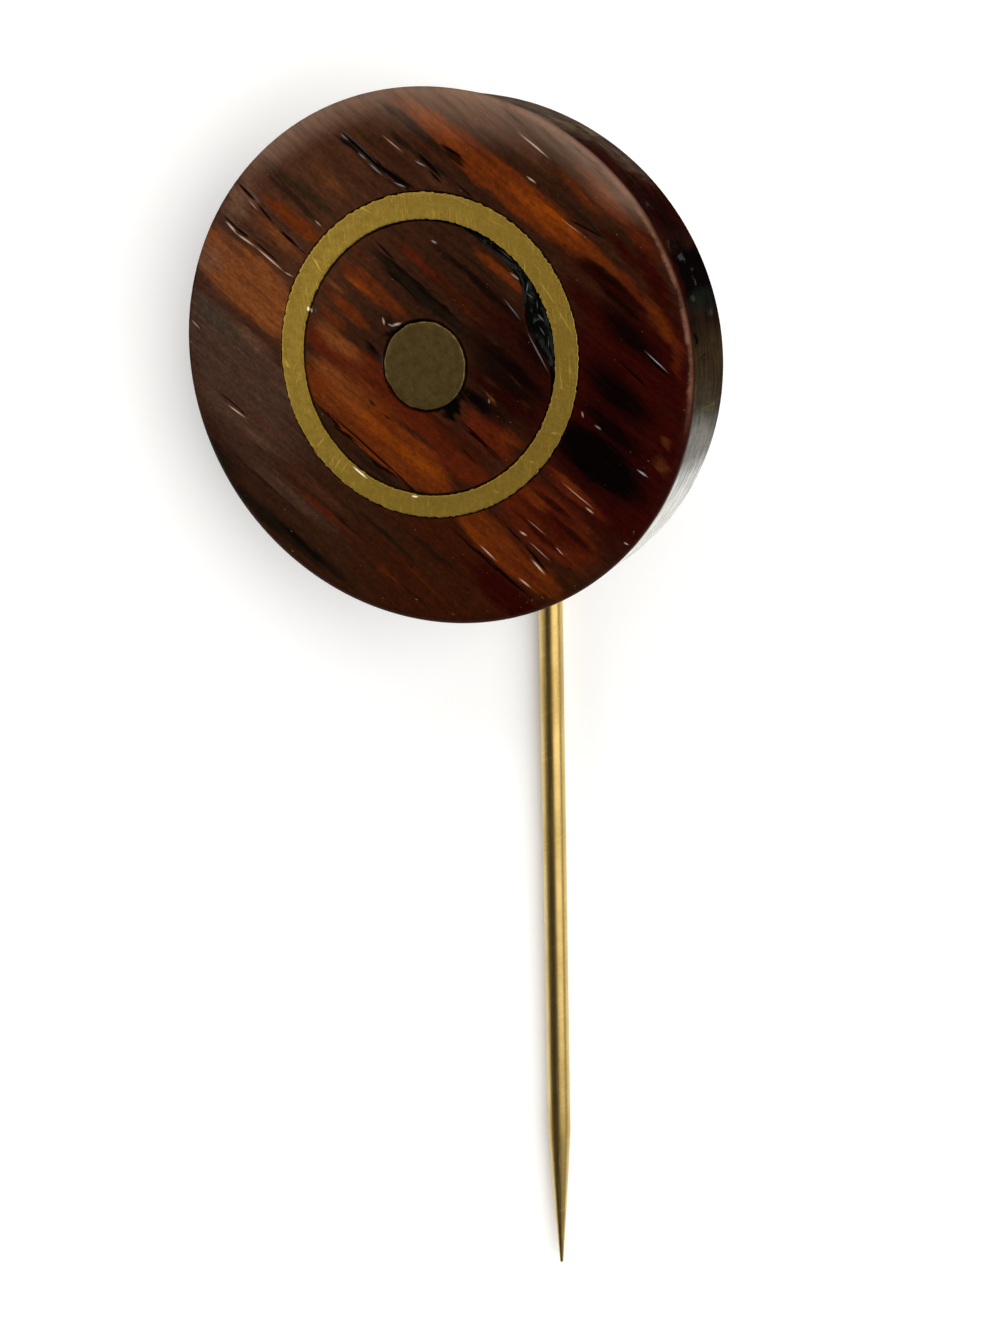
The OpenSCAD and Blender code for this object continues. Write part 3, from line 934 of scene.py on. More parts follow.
    ("ink", 3.3, -0.74, 1.5, 0.08, -3, 0.6, 0.95),
    ("ink", 1.62, -0.42, 0.42, 0.66, 10, 0.4, 1.0),
    ("ink", 1.4, 1.95, 1.4, 0.85, 0, 0.9, 0.6),
    ("umber", 3.0, 1.75, 0.42, 0.13, -10, 0.8, 0.9),
    ("umber", 2.2, 1.20, 0.50, 0.12, 6, 0.8, 0.9),
    ("chestnut", 3.7, 1.35, 0.40, 0.16, 0, 0.8, 0.9),
    ("umber", 1.6, 2.35, 0.60, 0.12, 0, 0.8, 0.7),
    ("ink", -1.72, 0.15, 0.18, 0.42, -20, 0.6, 0.9),
]
print("streaks on the face:", len(FIGURE))

# %% [markdown]
# ## Painted glints and the wall
# The glints are painted highlights on lips of cracks that catch the light, and a few bright specks.
# The wall has a table of its own, by place along it and depth, because it cuts across the grain.

# %% Glints
# Each painted glint: tone, from (u, v) to (u, v), half width, strength
GLINTS = [
    ("bone", -9.2, -0.83, -8.6, -0.84, 0.05, 0.5),
    ("bone", -9.15, -0.80, -8.5, -0.90, 0.05, 0.8),
    ("bone", -8.65, -0.90, -7.6, -0.78, 0.05, 0.85),
    ("bone", -7.8, -0.78, -6.2, -0.80, 0.05, 0.85),
    ("bone", -6.3, -0.80, -5.85, -0.72, 0.03, 0.6),
    ("bone", -8.9, 0.36, -8.3, 0.30, 0.03, 0.5),
    ("bone", -2.2, 8.34, -0.5, 8.36, 0.04, 0.8),
    ("bone", -0.95, 7.42, -0.5, 7.45, 0.04, 0.8),
    ("bone", 0.8, 7.08, 1.9, 7.14, 0.02, 0.5),
    ("ash", -7.3, 4.40, -4.9, 4.26, 0.05, 0.40),
    ("silver", -7.3, 4.38, -6.85, 4.38, 0.04, 0.30),
    ("silver", -6.35, 4.29, -5.95, 4.28, 0.04, 0.35),
    ("silver", -5.85, 4.25, -5.1, 4.24, 0.04, 0.35),
    ("silver", -4.7, 4.30, -4.2, 4.46, 0.04, 0.45),
    ("bone", -6.0, 5.30, -4.9, 5.32, 0.03, 0.6),
    ("silver", -4.5, 5.36, -4.0, 5.46, 0.04, 0.5),
    ("bone", -6.35, 1.43, -6.0, 1.41, 0.04, 0.6),
    ("bone", -5.4, -6.22, -4.4, -6.13, 0.04, 0.85),
    ("bone", -8.35, -4.62, -7.8, -4.66, 0.04, 0.5),
    ("bone", 6.3, -2.32, 6.6, -2.28, 0.05, 0.8),
    ("bone", 6.7, -2.38, 7.9, -2.42, 0.03, 0.5),
    ("bone", 7.25, -2.83, 8.0, -2.95, 0.05, 0.9),
    ("bone", 5.4, -3.73, 6.35, -3.78, 0.04, 0.8),
    ("bone", 7.3, -3.70, 7.9, -3.68, 0.05, 0.8),
    ("bone", 6.2, -1.80, 7.2, -1.78, 0.03, 0.35),
    ("bone", 7.65, -1.88, 8.1, -1.92, 0.03, 0.6),
    ("bone", 6.3, 0.10, 8.0, 0.12, 0.03, 0.6),
    ("bone", 7.6, -0.03, 8.0, -0.01, 0.04, 0.8),
    ("bone", 9.45, -0.10, 9.6, -0.08, 0.04, 0.8),
    ("silver", 8.2, 2.22, 8.65, 2.26, 0.05, 0.9),
    ("silver", 6.1, 2.44, 6.35, 2.47, 0.05, 0.5),
    ("bone", 5.45, 2.50, 5.6, 2.38, 0.05, 0.5),
    ("silver", 5.8, 5.54, 7.05, 5.46, 0.03, 0.8),
    ("bone", -2.30, 0.34, -2.1, 0.18, 0.06, 0.6),
    ("bone", -1.84, 0.34, -1.62, 0.64, 0.07, 0.8),
    ("silver", -2.0, 0.28, -1.78, 0.36, 0.05, 0.5),
    ("silver", 0.5, 4.56, 1.0, 4.58, 0.04, 0.6),
    ("silver", -2.4, 3.62, -2.2, 3.66, 0.05, 0.6),
    ("silver", 0.8, 3.74, 1.9, 3.52, 0.03, 0.35),
    ("silver", 2.1, 3.44, 3.8, 2.72, 0.04, 0.35),
    ("bone", -4.72, -1.18, -4.60, -1.24, 0.06, 1.0),
    ("bone", 2.55, 0.62, 2.65, 0.55, 0.05, 0.3),
]
print("glints:", len(GLINTS))

# %% Figure of the wall
# Each patch of the wall: tone, middle (y, z), half sizes, lean in degrees, softness, strength
WALL_FIGURE = [
    # The fawn patches are painted sheen
    ("fawn", 8.80, -2.40, 1.60, 9.00, 0, 0.7, 0.85),
    ("wine", 6.70, -0.80, 1.10, 1.60, 0, 0.8, 0.9),
    ("fawn", 7.00, -3.60, 1.20, 1.80, 0, 0.9, 0.6),
    ("khaki", 7.95, -3.00, 0.14, 1.60, 0, 0.8, 0.5),
    ("maroon", 5.20, -2.40, 1.50, 9.00, 0, 0.7, 1.0),
    ("ink", 4.90, -2.40, 1.20, 2.40, 0, 0.9, 0.6),
    ("ink", 3.00, -2.40, 1.80, 9.00, 0, 0.7, 1.0),
    ("wine", 3.80, -0.40, 2.20, 0.60, 0, 0.9, 0.8),
    ("soot", 1.30, -2.40, 1.10, 9.00, 0, 0.8, 0.9),
    ("moss", 2.10, -3.00, 0.60, 3.00, 0, 0.8, 0.8),
    ("olive", -1.60, -2.40, 3.20, 9.00, 0, 0.5, 0.95),
    ("bark", 0.10, -2.40, 1.10, 9.00, 0, 0.8, 0.7),
    ("ink", 0.85, -0.75, 0.45, 0.30, -12, 0.7, 1.0),
    ("soot", 0.20, -1.60, 0.12, 1.20, 6, 0.8, 0.7),
    ("khaki", -1.55, -2.60, 0.14, 2.20, 0, 0.8, 0.4),
    # The slate patches are painted glints
    ("slate", 5.35, -1.50, 0.10, 0.45, 0, 0.8, 0.4),
    ("slate", 4.05, -1.00, 0.10, 0.30, 0, 0.8, 0.5),
    ("slate", 3.60, -1.90, 0.10, 0.55, 0, 0.8, 0.8),
    ("slate", 3.10, -2.50, 0.12, 0.35, 0, 0.8, 0.6),
    ("slate", 2.75, -2.40, 0.10, 0.25, 0, 0.8, 0.8),
    ("slate", 2.25, -1.40, 0.10, 0.40, 0, 0.8, 0.5),
    ("slate", 1.60, -3.40, 0.25, 0.60, 0, 0.8, 0.4),
]
print("patches on the wall:", len(WALL_FIGURE))

# %% [markdown]
# ## Polished wood: places
# The place on the face is turned into grain coordinates. Noise that is stretched along the
# grain then pushes it sideways a little, so that straight streaks come out wavy and ragged,
# like fibres. The cracks get a much smaller push, so that they stay where the mesh sinks.

# %% Coordinates
def new_material(name):
    """A material with an empty tree but for its Principled shader and output."""
    material = bpy.data.materials.new(name)
    material.use_nodes = True
    tree = material.node_tree
    return material, tree, tree.nodes["Principled BSDF"]


def millimetres(tree):
    """The drawing board's coordinates, in mm, at any point of the lying pin."""
    place = node(tree, "ShaderNodeTexCoord").outputs["Object"]
    return node(tree, "ShaderNodeMapping", {"vector_type": "TEXTURE"}, Vector=place,
                Location=face_matrix.translation, Rotation=face_matrix.to_euler(),
                Scale=(MM, MM, MM)).outputs[0]


def along_grain(tree, place):
    """A place on the drawing board turned into grain coordinates."""
    return node(tree, "ShaderNodeVectorRotate", {"rotation_type": "Z_AXIS"}, Vector=place,
                Angle=GRAIN_LEAN).outputs[0]


# %% Places in the wood
# How far waves and fibres push a streak sideways, in mm, and how far each mm of depth does
WAVE_PUSH, FIBRE_PUSH, DEPTH_PUSH = 0.42, 0.40, 0.12
# How ragged the ends of streaks are, and the sides of cracks, in mm
END_FRINGE, CRACK_PUSH = 1.2, 0.05


def wave(tree, place, stretch, detail, roughness=0.5):
    """Noise that swings to both sides of zero."""
    return sums(tree, "SUBTRACT", noise(tree, place, stretch, detail, roughness), 0.5)


def moved(tree, place, x=0.0, y=0.0):
    """A place moved by amounts that change from point to point."""
    return vectors(tree, "ADD", place, node(tree, "ShaderNodeCombineXYZ", X=x, Y=y).outputs[0])


wood, tree, shader = new_material("polished_rosewood")
board = millimetres(tree)
board_parts = node(tree, "ShaderNodeSeparateXYZ", Vector=board).outputs
height = board_parts["Z"]
turned = along_grain(tree, board)
slow_wave = wave(tree, turned, (0.22, 0.8, 0.35), 1.0)
fibre_wave = wave(tree, turned, (1.0, 5.0, 0.8), 3.0, 0.55)
fringe = product(tree, wave(tree, turned, (0.15, 3.2, 0.4), 2.0, 0.6), END_FRINGE)
push = sums(tree, "MULTIPLY_ADD", slow_wave, WAVE_PUSH, product(tree, fibre_wave, FIBRE_PUSH))
push = sums(tree, "MULTIPLY_ADD", height, DEPTH_PUSH, push)
grain = moved(tree, turned, fringe, push)
ragged_place = moved(tree, turned, y=product(tree, fibre_wave, CRACK_PUSH))
front = ramp_between(tree, height, -0.6, -0.3)
print("wood nodes for places:", len(tree.nodes))

# %% [markdown]
# ## Polished wood: figure and pores
# The figure is laid on streak by streak. Three noises shade it from fibre to fibre and from
# patch to patch, and two more, cut down to their crests, are dark veins and open pores.

# %% Figure and pores
def lay_figure(tree, place, colour, figure):
    """Lays a table of streaks over a colour."""
    for tone, *shape in figure:
        colour, _, place = streak(tree, place, colour, TONES[tone], *shape)
    return colour


def shaded(tree, colour, *shades):
    """A colour made lighter and darker by shades around one."""
    shade = product(tree, *shades)
    grey = node(tree, "ShaderNodeCombineColor", Red=shade, Green=shade, Blue=shade).outputs[0]
    return blend_colours(tree, 1.0, colour, grey, "MULTIPLY")


colour = lay_figure(tree, grain, TONES["umber"], FIGURE)
fibres = noise(tree, turned, (0.5, 5.5, 1.5), 4.0, 0.65)
mottle = noise(tree, turned, (2.2, 3.6, 2.0), 4.0, 0.7)
speckle = noise(tree, turned, (5.5, 8.0, 5.5), 2.0, 0.6)
colour = shaded(tree, colour, ramp_between(tree, fibres, 0.25, 0.75, 0.78, 1.18),
                ramp_between(tree, mottle, 0.25, 0.75, 0.78, 1.22),
                ramp_between(tree, speckle, 0.25, 0.75, 0.82, 1.18))
veins = ramp_between(tree, noise(tree, turned, (0.3, 3.2, 0.6), 3.0, 0.6), 0.57, 0.66)
colour = blend_colours(tree, product(tree, veins, 0.32), colour, TONES["soot"])
pores = ramp_between(tree, noise(tree, turned, (1.6, 11.0, 2.0), 1.0), 0.68, 0.76)
colour = blend_colours(tree, product(tree, pores, 0.5), colour, TONES["ink"])
print("wood nodes with the figure:", len(tree.nodes))

# %% [markdown]
# ## Polished wood: cracks and chips
# The tables that sank the mesh now paint shade into the same places, a little wider than
# they say, because the painted shade fades out at its edge. Only the front has cracks. What is
# open grain stays rougher and takes no wax later.

# %% Painted shade in cracks and chips
CRACK_SPREAD, CRACK_SOFT, CRACK_SHADE = 1.2, 0.55, 0.95
CHIP_SPREAD, CHIP_SOFT, CHIP_SHADE_PER_MM = 1.3, 0.6, 12
openings = [(*thin_streak(*ends, CRACK_SPREAD * half_width), CRACK_SOFT, CRACK_SHADE)
            for *ends, half_width, _ in CRACKS]
openings += [(u, v, CHIP_SPREAD * half_u, CHIP_SPREAD * half_v, 0, CHIP_SOFT,
              min(1.0, CHIP_SHADE_PER_MM * deep)) for u, v, half_u, half_v, deep in CHIPS]
open_grain = pores
for shape in openings:
    _, mask, ragged_place = streak(tree, ragged_place, TONES["ink"], TONES["ink"], *shape)
    mask = product(tree, mask, front)
    open_grain = sums(tree, "MAXIMUM", open_grain, mask)
    # Painted shade inside the cracks and chips, in ink
    colour = blend_colours(tree, mask, colour, TONES["ink"])
print("dark openings:", len(openings))

# %% [markdown]
# ## Polished wood: dust, painted shade and painted glints
# Pale flecks of polish sit in the pores. A dark, uneven shade is painted along the seams round
# the ring and the dot. The glints, painted highlights, come last, because they are light on the
# surface.

# %% Dust, painted shade and painted glints
FLECK_SHARE = 0.22
# Each seam of painted shade: middle, radius, width, darkness
SEAM_SHADES = ((RING_PLACE, RING_R, 0.06, 0.45), (DOT_PLACE, DOT_R + GAP, 0.08, 0.7))


def from_axis(tree, place, middle):
    """Distance from an upright line through a point of the face."""
    offset = vectors(tree, "SUBTRACT", place, (*middle, 0))
    return vectors(tree, "LENGTH", vectors(tree, "MULTIPLY", offset, (1, 1, 0)))


flecks = ramp_between(tree, noise(tree, turned, (4.5, 12.0, 6.0), 1.0), 0.765, 0.82)
colour = blend_colours(tree, product(tree, flecks, front, FLECK_SHARE), colour, TONES["bone"])

seam_shade_noise = noise(tree, board, (1.6, 1.6, 1.6), 3.0, 0.6)
for middle, radius, width, darkness in SEAM_SHADES:
    from_edge = sums(tree, "SUBTRACT", from_axis(tree, board, middle), radius)
    from_edge = sums(tree, "MULTIPLY_ADD", seam_shade_noise, -width, from_edge)
    seam_shade = ramp_between(tree, from_edge, -0.2 * width, 0.5 * width, darkness, 0.0)
    seam_shade = product(tree, seam_shade, ramp_between(tree, from_edge, -0.5, -0.4), front)
    # Painted shade along the seams round the inlays, in ink
    colour = blend_colours(tree, seam_shade, colour, TONES["ink"])

# Painted highlights: pale tones laid into the colour on the lips of cracks
for tone, *ends, half_width, strength in GLINTS:
    _, mask, ragged_place = streak(tree, ragged_place, TONES["ink"], TONES["ink"],
                                   *thin_streak(*ends, half_width), 0.9, strength)
    colour = blend_colours(tree, product(tree, mask, front), colour, TONES[tone])
print("seams:", len(SEAM_SHADES), "glints:", len(GLINTS))

# %% [markdown]
# ## Polished wood: painted sheen
# A pale sheen is painted into the colour along the top, and more on the rounded rim there. A
# direction and two limits say where it starts and where it is full, in shares of the radius.

# %% Painted sheen
SHEEN_TONE = tint(189, 155, 131)
TOPWARDS, RIM_TOPWARDS = (0.022, 0.103, 0), (0.0145, 0.1035, 0)
oval_place = node(tree, "ShaderNodeMapping", {"vector_type": "TEXTURE"}, Vector=board,
                  Rotation=(0, 0, -OVAL_LEAN), Scale=(OVAL_LONG, OVAL_SHORT, 1e3)).outputs[0]
reach = vectors(tree, "LENGTH", oval_place)
topwards = vectors(tree, "DOT_PRODUCT", board, TOPWARDS)
painted_sheen = ramp_between(tree, sums(tree, "MULTIPLY_ADD", fibre_wave, 0.05, topwards), 0.77, 1.01)
rim_topwards = vectors(tree, "DOT_PRODUCT", board, RIM_TOPWARDS)
rim_painted_sheen = product(tree, ramp_between(tree, reach, 0.87, 0.98, 0.0, 0.75),
                    ramp_between(tree, rim_topwards, 0.57, 0.70))
painted_sheen = product(tree, sums(tree, "MAXIMUM", painted_sheen, rim_painted_sheen),
                ramp_between(tree, fibres, 0.3, 0.6, 0.20, 0.30), front)
# Painted sheen: a pale tone mixed into the colour where the top reflects the light
colour = blend_colours(tree, painted_sheen, colour, SHEEN_TONE)
print("wood nodes with the bloom:", len(tree.nodes))

# %% [markdown]
# ## Polished wood: the wall
# The wall was turned on a lathe: fine lines run round it, and its colours are patches, not
# streaks. Its figure is laid on by place along the wall and depth, pushed about by the same
# fibres, and replaces the colour of the face below the rounded edge. The fawn patches are
# painted sheen and the slate ones painted glints.

# %% Colour of the wall
WALL_PUSH = 1.2
turning = noise(tree, board, (2.4, 2.4, 0.6), 4.0, 0.7)
turning_lines = noise(tree, board, (0.9, 0.9, 3.6), 4.0, 0.65)
wall_place = node(tree, "ShaderNodeCombineXYZ", X=board_parts["Y"], Y=height).outputs[0]
wall_place = moved(tree, wall_place, sums(tree, "MULTIPLY_ADD", turning, WALL_PUSH, -WALL_PUSH / 2),
                   product(tree, fibre_wave, WALL_PUSH))
wall_colour = lay_figure(tree, wall_place, TONES["umber"], WALL_FIGURE)
wall_colour = shaded(tree, wall_colour, ramp_between(tree, turning, 0.25, 0.75, 0.70, 1.30),
                     ramp_between(tree, turning_lines, 0.32, 0.68, 0.55, 1.45))
on_wall = product(tree, ramp_between(tree, height, -0.45, -0.20, 1.0, 0.0),
                  ramp_between(tree, height, -4.75, -4.60))
colour = blend_colours(tree, on_wall, colour, wall_colour)
print("wood nodes with the wall:", len(tree.nodes))

# %% [markdown]
# ## Polished wood: painted rim highlight
# A pale highlight is painted along the rim at the upper right, broken into uneven spots.

# %% Painted rim highlight
RIM_HIGHLIGHT = tint(136, 94, 74)
RIM_HIGHLIGHT_WARDS = (0.085, 0.060, 0)
highlight_noise = noise(tree, board, (1.1, 1.1, 1.1), 4.0, 0.7)
highlight_side = vectors(tree, "DOT_PRODUCT", board, RIM_HIGHLIGHT_WARDS)
highlight_reach = sums(tree, "MULTIPLY_ADD", highlight_noise, 0.04, reach)
rubbed_and_highlight = product(tree, ramp_between(tree, highlight_reach, 0.997, 1.016),
                 ramp_between(tree, highlight_side, 0.62, 0.84, 0.0, 0.8),
                 ramp_between(tree, height, -0.30, -0.10),
                 ramp_between(tree, highlight_noise, 0.30, 0.58, 0.5, 1.0))
# Painted highlight: a pale tone mixed into the colour along the upper right rim
colour = blend_colours(tree, rubbed_and_highlight, colour, RIM_HIGHLIGHT)
tree.links.new(colour, shader.inputs["Base Color"])
print("wood nodes with all colours:", len(tree.nodes))

# %% [markdown]
# ## Polished wood: wax
# The wax is a coat over rough wood: thick on the left of the face, thin on the right, none in
# open grain and hardly any over the rounded edge. The wall is dry at its top and waxed in
# patches lower down. A bump gives fibres and pores their depth.

# %% Wax and relief
WAX_WARDS = (-0.092, 0.040, 0)
roughness = ramp_between(tree, fibres, 0.3, 0.8, 0.42, 0.56)
tree.links.new(sums(tree, "MULTIPLY_ADD", open_grain, 0.3, roughness, clamp=True),
               shader.inputs["Roughness"])
relief = sums(tree, "MULTIPLY_ADD", pores, -0.8, product(tree, fibres, 0.5))
wood_bump = node(tree, "ShaderNodeBump", Strength=0.35, Distance=0.03 * MM, Height=relief)
tree.links.new(wood_bump.outputs[0], shader.inputs["Normal"])

wall_low = sums(tree, "MULTIPLY_ADD", turning, 0.8, board_parts["Y"])
wall_wax = sums(tree, "MULTIPLY_ADD", ramp_between(tree, wall_low, -1.25, -0.85, 1.0, 0.0), 0.22,
                ramp_between(tree, wall_low, -3.9, -2.7, 0.68, 0.02))
wall_wax = product(tree, wall_wax, ramp_between(tree, turning_lines, 0.38, 0.58, 0.6, 1.0))
wax_side = vectors(tree, "DOT_PRODUCT", board, WAX_WARDS)
face_wax = product(tree, ramp_between(tree, open_grain, 0.1, 0.6, 1.0, 0.0),
                   ramp_between(tree, wax_side, -0.4, 0.75, 0.015, 0.46),
                   ramp_between(tree, height, -0.06, -0.012, 0.04, 1.0))
wax = sums(tree, "MULTIPLY_ADD", front, sums(tree, "SUBTRACT", face_wax, wall_wax), wall_wax)
tree.links.new(wax, shader.inputs["Coat Weight"])
shader.inputs["Coat Roughness"].default_value = 0.18
shader.inputs["Specular IOR Level"].default_value = 0.015
print("wood nodes in all:", len(tree.nodes))

# %% [markdown]
# ## Fine scratches and tarnish for metal
# All the metal here has been rubbed with something and then worn. Scratches are noise drawn
# out very long in one direction, cut down to its thin crests. Two directions are laid over
# each other. Tarnish is a soft cloud that takes the shine down and the colour to brown. Both
# are groups, because the ring, the dot and the pin each use them with their own amounts.

# %% Scratch group
# Two layers of scratches: extra turn, and features per mm along and across them
SCRATCH_LAYERS = ((0.0, 0.7, 22.0), (1.1, 0.9, 26.0))
scratch_group, given, result = new_group(
    "Fine scratches",
    [("Place", "Vector", (0, 0, 0)), ("Turn", "Float", 0.0), ("Fineness", "Float", 1.0)],
    [("Mask", "Float"), ("Height", "Float")])


def scaled(tree, place, scale):
    """A place multiplied by one number."""
    return node(tree, "ShaderNodeVectorMath", {"operation": "SCALE"}, i0=place,
                Scale=scale).outputs[0]


layers = []
for extra_turn, along, across in SCRATCH_LAYERS:
    angle = sums(scratch_group, "ADD", given["Turn"], extra_turn)
    laid = node(scratch_group, "ShaderNodeVectorRotate", {"rotation_type": "Z_AXIS"},
                Vector=given["Place"], Angle=angle).outputs[0]
    laid = scaled(scratch_group, laid, given["Fineness"])
    layers.append(noise(scratch_group, laid, (along, across, 1.0), 2.0))
crests = sums(scratch_group, "MAXIMUM", *layers)
scratch_group.links.new(ramp_between(scratch_group, crests, 0.6, 0.8), result["Mask"])
scratch_group.links.new(crests, result["Height"])
print("nodes in the scratches:", len(scratch_group.nodes))

# %% Tarnish group
tarnish_group, given, result = new_group(
    "Tarnish",
    [("Place", "Vector", (0, 0, 0)), ("Clean", "Color", (1, 1, 1, 1)),
     ("Tarnished", "Color", (0, 0, 0, 1)), ("Amount", "Float", 0.5), ("Size", "Float", 1.0)],
    [("Color", "Color"), ("Mask", "Float")])
laid = scaled(tarnish_group, given["Place"], given["Size"])
cloud = ramp_between(tarnish_group, noise(tarnish_group, laid, (1.0, 1.0, 1.0), 4.0, 0.6), 0.3, 0.7)
cloud = product(tarnish_group, cloud, given["Amount"])
stained = blend_colours(tarnish_group, cloud, given["Clean"], given["Tarnished"])
tarnish_group.links.new(cloud, result["Mask"])
tarnish_group.links.new(stained, result["Color"])
print("nodes in the tarnish:", len(tarnish_group.nodes))

# %% [markdown]
# ## Marks on the ring
# The ring has single scratches that show in the photograph, many of them across its lower
# left, and three pale spots of painted highlight in the edge of its hole.

# %% Ring marks
PAINTED_GLINT_COUNT = 3
# Each mark: from (u, v) to (u, v), half width, strength; the first three are painted highlights
RING_MARKS = [
    (-0.10, -4.73, 0.70, -4.71, 0.045, 1.00),
    (2.38, -4.06, 2.58, -3.93, 0.045, 1.00),
    (-4.80, -1.20, -4.73, -1.30, 0.050, 1.00),
    (1.45, 5.02, 2.55, 4.72, 0.030, 0.80),
    (2.50, 4.70, 3.60, 4.34, 0.022, 0.90),
    (-5.75, 0.36, -5.10, 0.14, 0.045, 0.90),
    (-5.30, 2.85, -4.75, 2.95, 0.050, 0.60),
    (-0.30, -5.40, -0.28, -4.62, 0.030, 0.50),
    (-0.55, -5.42, -0.60, -4.70, 0.035, 0.60),
    (-0.78, -5.30, -0.84, -4.75, 0.025, 0.50),
    (-1.60, -5.15, -1.55, -4.55, 0.040, 0.70),
    (-3.60, -3.75, -3.70, -3.25, 0.030, 0.60),
    (-3.95, -3.60, -4.00, -3.05, 0.025, 0.50),
    (-4.45, -3.35, -4.15, -3.45, 0.080, 0.80),
    (4.62, -1.85, 4.85, -1.75, 0.050, 0.60),
    (5.05, -0.10, 5.18, -0.05, 0.050, 0.70),
    (5.08, 1.22, 5.18, 1.28, 0.050, 0.70),
    (4.30, 2.72, 4.40, 2.66, 0.050, 0.60),
    (0.80, 5.38, 1.55, 5.22, 0.020, 0.50),
    (-2.60, 5.30, -1.80, 5.42, 0.020, 0.40),
]
print("marks on the ring:", len(RING_MARKS))

# %% [markdown]
# ## Brass and gilt
# One function makes the three metals. Tarnish sets the colour, grit pits it and glitters, and
# scratches rub it bright. The dot also has a bright rim, where the file caught it, and the
# ring has its marks. Its painted highlights aren't metal, so they are taken out of Metallic.

# %% A worn metal
PAINTED_GLINT_TONE = tint(250, 240, 214)
POLISH_GAIN, RUBBED_SHARE, GLITTER, RIM_SHARE = 1.6, 0.55, 0.4, 0.8


def bright_rim(tree, place, middle, from_r, to_r):
    """A worn rim round a point of the face, in speckles."""
    speckles = ramp_between(tree, noise(tree, place, (3.0, 3.0, 3.0), 2.0), 0.40, 0.60)
    near_rim = ramp_between(tree, from_axis(tree, place, middle), from_r, to_r, 0.0, RIM_SHARE)
    return product(tree, near_rim, speckles)


def metal(name, clean, tarnished, *, amount, size, turn, fineness, rough, bump, marks=(), rim=None):
    """A worn metal: tarnish, bright scratches, single marks and a worn bright rim, all over bump.
    """
    material, tree, shader = new_material(name)
    place = millimetres(tree)
    scratches = use_group(tree, scratch_group, Place=place, Turn=turn, Fineness=fineness)
    stain = use_group(tree, tarnish_group, Place=place, Clean=clean, Tarnished=tarnished,
                      Amount=amount, Size=size)
    polished = tuple(min(1.0, POLISH_GAIN * c) for c in clean[:3]) + (1.0,)
    grit = noise(tree, place, (8.0, 8.0, 8.0), 3.0, 0.6)
    pits = ramp_between(tree, grit, 0.30, 0.46, 0.35, 0.0)
    rubbed_and_highlight = product(tree, scratches["Mask"], RUBBED_SHARE)
    if rim:
        rubbed_and_highlight = sums(tree, "MAXIMUM", rubbed_and_highlight, bright_rim(tree, place, *rim))
    rubbed_and_highlight = sums(tree, "MAXIMUM", rubbed_and_highlight, ramp_between(tree, grit, 0.60, 0.74, 0.0, GLITTER))
    colour = blend_colours(tree, pits, stain["Color"], tarnished)
    colour = blend_colours(tree, rubbed_and_highlight, colour, polished)

    shader.inputs["Metallic"].default_value = 1.0
    if marks:
        marked = along_grain(tree, place)
        metallic = 1.0
        for number, (*ends, half_width, strength) in enumerate(marks):
            # The first marks are painted highlights: pale and not metal
            tone = PAINTED_GLINT_TONE if number < PAINTED_GLINT_COUNT else polished
            colour, mask, marked = streak(tree, marked, colour, tone,
                                          *thin_streak(*ends, half_width), 0.6, strength)
            if number < PAINTED_GLINT_COUNT:
                metallic = sums(tree, "SUBTRACT", metallic, mask, clamp=True)
        tree.links.new(metallic, shader.inputs["Metallic"])
    tree.links.new(colour, shader.inputs["Base Color"])

    dull = sums(tree, "MULTIPLY_ADD", stain["Mask"], 0.12, rough)
    dull = sums(tree, "MULTIPLY_ADD", scratches["Mask"], 0.08, dull, clamp=True)
    tree.links.new(dull, shader.inputs["Roughness"])
    dents = node(tree, "ShaderNodeBump", Strength=bump, Distance=0.01 * MM,
                 Height=scratches["Height"])
    tree.links.new(dents.outputs[0], shader.inputs["Normal"])
    print(name, "nodes:", len(tree.nodes))
    return material


# %% Ring, dot and wire
ring_metal = metal("ring_brass", tint(196, 164, 72), tint(156, 122, 40), amount=0.7, size=3.4,
                   turn=0.4, fineness=1.0, rough=0.40, bump=1.0, marks=RING_MARKS)
dot_metal = metal("dot_brass", tint(104, 86, 48), tint(76, 60, 30), amount=0.9, size=2.8,
                  turn=1.2, fineness=0.8, rough=0.5, bump=0.5,
                  rim=(DOT_PLACE, DOT_R - 0.12, DOT_R - 0.04))
pin_metal = metal("gold_wire", tint(172, 147, 90), tint(142, 114, 60), amount=0.5, size=0.35,
                  turn=math.pi / 2, fineness=0.6, rough=0.34, bump=0.15)

# %% [markdown]
# ## Black resin
# Old resin has a skin: black, a little glossy, with dust caught in its hollows. A few pale
# highlights are painted along its edges against the wood and the brass.

# %% Resin material
# Each painted highlight: from (u, v) to (u, v), half width, strength
RESIN_GLINTS = [
    (1.22, 4.72, 1.40, 4.36, 0.035, 0.35),
    (1.40, 4.36, 1.70, 4.40, 0.030, 0.30),
    (1.85, 4.42, 2.05, 4.20, 0.025, 0.20),
    (2.15, 4.08, 2.50, 4.02, 0.040, 0.25),
    (2.45, 3.78, 2.80, 3.64, 0.030, 0.25),
    (2.95, 3.66, 3.15, 3.40, 0.025, 0.20),
    (-0.30, 4.92, 0.40, 4.90, 0.025, 0.30),
]
resin, tree, shader = new_material("black_resin")
place = millimetres(tree)
dust = ramp_between(tree, noise(tree, place, (4.0, 4.0, 4.0), 4.0, 0.7), 0.58, 0.74)
tree.links.new(sums(tree, "MULTIPLY_ADD", dust, 0.3, 0.25), shader.inputs["Roughness"])
marked = along_grain(tree, place)
resin_colour = blend_colours(tree, dust, tint(5, 5, 4), tint(44, 48, 41))
